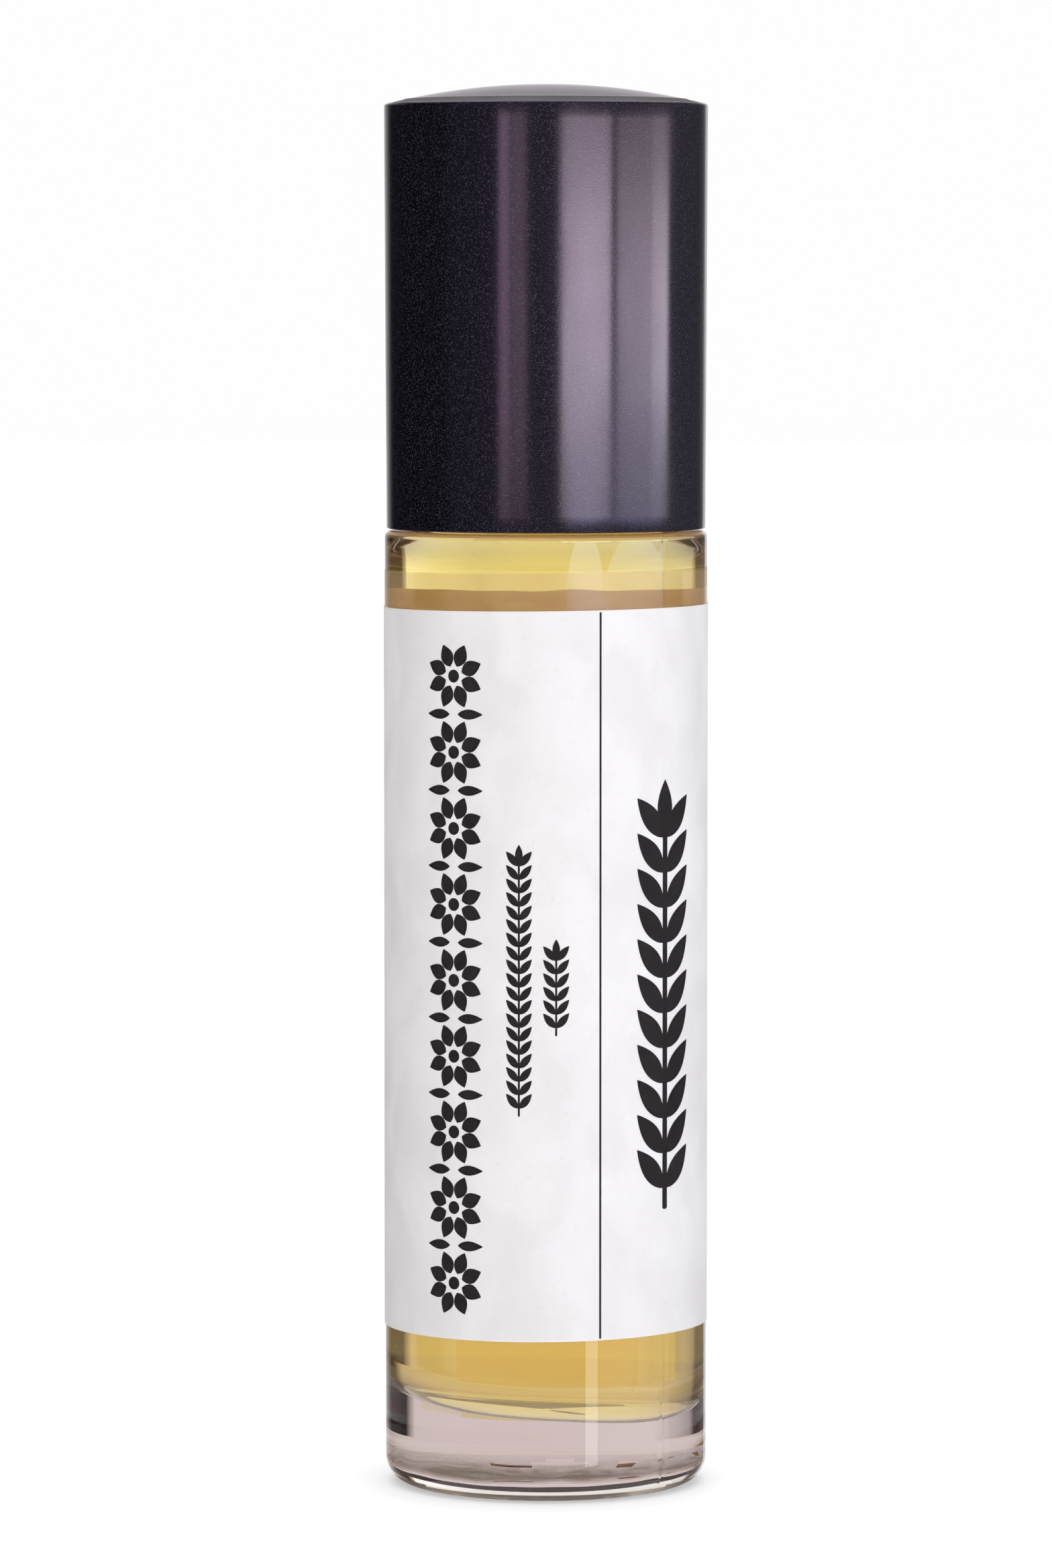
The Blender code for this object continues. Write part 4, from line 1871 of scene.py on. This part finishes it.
@dataclass
class Studio:
    """The white table, the light and the camera.

    Attributes:
        floor_half: Half the table's width.
        ambient: How bright the room looks to plain surfaces.
        near_lift: What the camera sees added to the table round the bottle, so that it meets the backdrop.
        far_lift: The same far from the bottle.
        below: What clear matter shows of the room a little below level: painted shade, the table in the
            bottle's own shadow.
        under: What it shows straight below: painted warm light, which the stippled heel shows as a cream
            band.
        over: What it shows overhead.
        beside: What it shows level with the bottle.
        mirrored: How bright the room looks to the camera and to mirrors.
        white: The table's colour.
        lift_reach: How far from the bottle the near lift ends and the far lift starts.
        boxes: The lamps.
        flags: The cards.
    """

    floor_half: float = 3.0
    ambient: float = 0.52
    near_lift: float = 0.36
    far_lift: float = 0.55
    below: Colour = (0.785, 0.675, 0.655)
    under: Colour = (1.0, 0.94, 0.74)
    over: Colour = (0.92, 0.82, 0.66)
    beside: Colour = (0.97, 0.97, 0.97)
    mirrored: float = 0.99
    white: Colour = (0.90, 0.905, 0.92)
    lift_reach: Point = (0.10, 0.80)
    boxes: tuple[Softbox, ...] = (
        *tower("window", 10.8, 46.4, 1.0),
        *tower("side", 51.0, 79.0, 0.53),
        *tower("edge", 79.6, 96.3, 0.70),
        strip("foot_window", 14.5, 41.0, 0.034, 0.0488, 3.2, COOL, oval=True),
        strip("foot_side", 42.0, 92.0, 0.032, 0.0484, 2.6, COOL, oval=True),
        strip("foot_film", 20.0, 44.0, 0.036, 0.0445, 1.6, (0.60, 0.72, 1.0)),
        strip("base_front", 28.0, 37.0, -0.060, -0.030, 3.2, WARM),
        strip("base_side", 38.0, 98.0, -0.060, -0.030, 0.5, WARM),
        strip("left_a", -33.0, -25.5, 0.0495, 0.102, 2.2, (1.0, 0.76, 0.94)),
        strip("left_b", -24.0, -13.5, 0.0495, 0.102, 1.2, (1.0, 0.80, 0.94)),
        Softbox("front_fill", -20.0, 0.10, 0.70, 0.90, 1.42, (1.0, 0.99, 0.975), 0.90, Role.FILL, 0.04),
        Softbox("back_fill", 180.0, 0.12, 0.70, 0.60, 1.3, (1.0, 0.98, 0.96), 0.90, Role.FILL, 0.04),
        Softbox("overhead", 180.0, 0.75, 0.90, 0.90, 0.9, WHITE, 0.05, Role.SHINE, 0.0),
    )
    flags: tuple[Flag, ...] = (
        Flag("card_left_edge", -167.0, -146.0, *WHOLE, 0.80, PALE, 0.0, role=Role.SHINE),
        Flag("card_left", -146.0, -75.0, *WHOLE, 0.0, PALE, role=Role.SHINE),
        Flag("card_left_front", -75.0, -34.0, *WHOLE, 0.06, (0.8, 0.8, 1.0), 0.13, role=Role.SHINE),
        Flag("card_front", -34.0, 98.0, *WHOLE, 0.20, (0.95, 0.85, 1.0), role=Role.SHINE),
        Flag("card_right", 98.0, 140.0, *WHOLE, 0.26, (0.85, 0.85, 1.0), 0.10, role=Role.SHINE),
        Flag("card_right_edge", 140.0, 157.0, *WHOLE, 0.08, PALE, 0.20, role=Role.SHINE),
        Flag("card_back_low", 120.0, 240.0, 0.140, 0.200, 0.74, (1.0, 0.95, 1.0), role=Role.SHINE),
        Flag("card_back", 120.0, 240.0, 0.200, 0.262, 0.62, (0.98, 0.93, 1.0), role=Role.SHINE),
        Flag("screen_right", 100.0, 131.5, *ABOVE_BASE, 0.015, DEEP_RED),
        Flag("screen_right_edge", 131.5, 135.5, *ABOVE_BASE, 0.015, (1.0, 0.88, 0.78), 0.95),
        Flag("glow_right", 135.5, 164.0, -0.030, 0.140, 1.45, (1.0, 0.99, 0.97), 0.97),
        Flag("screen_right_oil", 95.0, 121.5, *OIL_FOOT, 0.05, (1.0, 0.75, 0.75)),
        Flag("shade_right_oil", 121.5, 131.0, *OIL_FOOT, 0.05, FAINT_RED, 0.85),
        Flag("screen_right_low", 95.0, 131.5, *BASE_RIM, 0.010, (1.0, 0.7, 1.0)),
        Flag("shade_right_low", 131.5, 138.0, *BASE_RIM, 0.010, (1.0, 0.85, 0.83), 0.76),
        Flag("fade_right", 82.0, 100.0, *ABOVE_BASE, 0.92, WARM_WHITE, 0.015),
        Flag("fade_right_low", 77.0, 95.0, *UNDER_BASE, 0.78, FAINT_RED, 0.03),
        Flag("screen_left_edge", -130.0, -125.0, *ABOVE_BASE, 0.95, (1.0, 0.85, 0.75), 0.03),
        Flag("screen_left", -125.0, -100.0, *ABOVE_BASE, 0.03, DEEP_RED),
        Flag("shade_left_low", -150.0, -128.0, *UNDER_BASE, 0.76, FAINT_RED, 0.40),
        Flag("shade_left_edge", -128.0, -123.0, *UNDER_BASE, 0.40, (1.0, 0.84, 0.84), 0.03),
        Flag("screen_left_low", -123.0, -100.0, *UNDER_BASE, 0.03, (1.0, 0.8, 0.85), 0.02),
        Flag("fade_left", -100.0, -82.0, *ABOVE_BASE, 0.03, WARM_WHITE, 0.92),
        Flag("fade_left_low", -100.0, -82.0, *UNDER_BASE, 0.02, FAINT_RED, 0.78),
        # The next six cards paint shade that clear matter shows: the two amber cards, the table behind the
        # bottle in its shadow, tinted amber; the low pale card just behind the heel, the same shaded table;
        # the dark heel cards, the contact shadow at the foot.
        Flag("amber_floor_shade", 148.0, 212.0, *BROWN_BAND, 1.0, (0.76, 0.64, 0.52), None, 0.060),
        Flag("amber_floor_shade_middle", 163.0, 198.0, *BROWN_BAND, 1.0, (0.745, 0.59, 0.35), None, 0.059),
        Flag("heel_floor_shade", 160.0, 200.0, -0.0002, 0.00160, 1.0, (0.785, 0.675, 0.655), None, 0.0105),
        Flag("heel_shade", 128.0, 232.0, *HEEL, 0.025, (1.0, 0.40, 0.34), None, 0.06),
        Flag("heel_fade_right", 104.0, 128.0, *HEEL, 0.95, HEEL_WHITE, 0.03, 0.06),
        Flag("heel_fade_left", -128.0, -104.0, *HEEL, 0.03, HEEL_WHITE, 0.95, 0.06),
    )

    def room(self) -> None:
        """Lights the room evenly, and shows it pale to the camera and to mirrors, and through clear matter as
        a ramp with painted shade and warm light below.
        """
        world = bpy.data.worlds.new("white_room")
        world.use_nodes = True
        nodes = Nodes(world.node_tree)
        path = nodes.node("LightPath").outputs
        seen = nodes.node("Math", path[Ray.CAMERA.value], path[Ray.GLOSSY.value], operation="MAXIMUM")
        level = nodes.node("MapRange", seen.outputs[0], To_Min=self.ambient, To_Max=self.mirrored)
        height = nodes.node("SeparateXYZ", nodes.node("TexCoord").outputs["Generated"])
        steep = nodes.node("MapRange", height.outputs["Z"], From_Min=-1.0, From_Max=1.0)
        # Clear matter sees painted warm light straight below, painted table shade a little below level, white
        # level with the bottle and a warm tone overhead.
        behind = nodes.coloured(
            steep.outputs["Result"],
            (0.22, self.under),
            (0.30, self.below),
            (0.462, self.below),
            (0.478, self.beside),
            (0.620, self.beside),
            (0.680, self.over),
        )
        plain = nodes.tree.nodes["Background"]
        plain.inputs["Color"].default_value = (1.0, 1.0, 1.0, 1.0)
        nodes.link(level.outputs["Result"], plain.inputs["Strength"])
        through = nodes.node("Background", behind)
        chosen = nodes.node("MixShader", path[Ray.TRANSMISSION.value], plain.outputs[0], through.outputs[0])
        nodes.link(chosen.outputs[0], nodes.tree.nodes["World Output"].inputs["Surface"])
        bpy.context.scene.world = world

    def table(self) -> bpy.types.Object:
        """Makes the table.

        Returns:
            The table's object.
        """
        shape = bmesh.new()
        steps = 12
        sides = [self.floor_half * (2 * i / steps - 1) for i in range(steps + 1)]
        grid = [[shape.verts.new((x, y, 0.0)) for x in sides] for y in sides]
        for near, far in zip(grid, grid[1:]):
            for i in range(steps):
                shape.faces.new((near[i], near[i + 1], far[i + 1], far[i]))
        made = finished("white_table", shape)
        shading = Shading("white_table")
        shading.put(Base_Color=self.white, Roughness=0.7, Specular_IOR_Level=0.2)
        camera = shading.node("LightPath").outputs[Ray.CAMERA.value]
        reach = shading.node("VectorMath", shading.place, operation="LENGTH").outputs["Value"]
        near, far = self.lift_reach
        lift = {"To_Min": self.near_lift, "To_Max": self.far_lift}
        rise = shading.node("MapRange", reach, From_Min=near, From_Max=far, **lift)
        gain = shading.node("Math", camera, rise.outputs["Result"], operation="MULTIPLY")
        shading.put(Emission_Color=WHITE)
        shading.link(gain.outputs["Value"], shading.shader.inputs["Emission Strength"])
        made.data.materials.append(shading.material)
        made.visible_glossy = made.visible_transmission = False
        return made

    def camera(self) -> bpy.types.Object:
        """Sets up the camera, a little above the top of the label.

        Returns:
            The camera's object.
        """
        distance, height, pitch, yaw = 0.450, 0.0741, 0.0682, -0.00273
        focal, long_side, sensor = 10865.0, 2338.0, 36.0
        lens = bpy.data.cameras.new("portrait_lens")
        lens.sensor_width = sensor
        lens.lens = focal / long_side * sensor
        lens.clip_start, lens.clip_end = 0.01, 20.0
        made = bpy.data.objects.new("portrait_camera", lens)
        made.location = (0.0, -distance, height)
        made.rotation_euler = (math.pi / 2 - pitch, 0.0, -yaw)
        bpy.context.scene.collection.objects.link(made)
        bpy.context.scene.camera = made
        return made

    def build(self) -> None:
        """Sets up the whole studio."""
        self.room()
        self.table()
        self.camera()
        for box in self.boxes:
            box.build()
            log.info("lamp %s: %.3f x %.3f m, radiance %.1f", box.name, box.width, box.tall, box.radiance)
        for flag in self.flags:
            flag.build()
            log.info("card %s: %.0f to %.0f degrees", flag.name, flag.first, flag.last)
        bpy.context.scene.view_settings.view_transform = "Standard"


def report(pieces: Sequence[bpy.types.Object]) -> None:
    """Logs each piece with its size.

    Args:
        pieces: The pieces of one sub-assembly.
    """
    for piece in pieces:
        size = " x ".join(f"{1000 * length:.2f}" for length in piece.dimensions)
        log.info("piece %s: %s mm, %d faces", piece.name, size, len(piece.data.polygons))


def main() -> None:
    """Loads the frame, builds the bottle from the glass outwards and sets up the studio."""
    logging.basicConfig(level=logging.INFO, format="%(message)s")
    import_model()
    bottle = GlassBottle()
    label = WrapLabel()
    for assembly in (bottle, OilFill(bottle), RollerFitment(), ScrewCap(), label, LabelPrint(label)):
        report(assembly.build())
    Studio().build()
    bpy.context.view_layer.update()


if __name__ == "__main__":
    main()
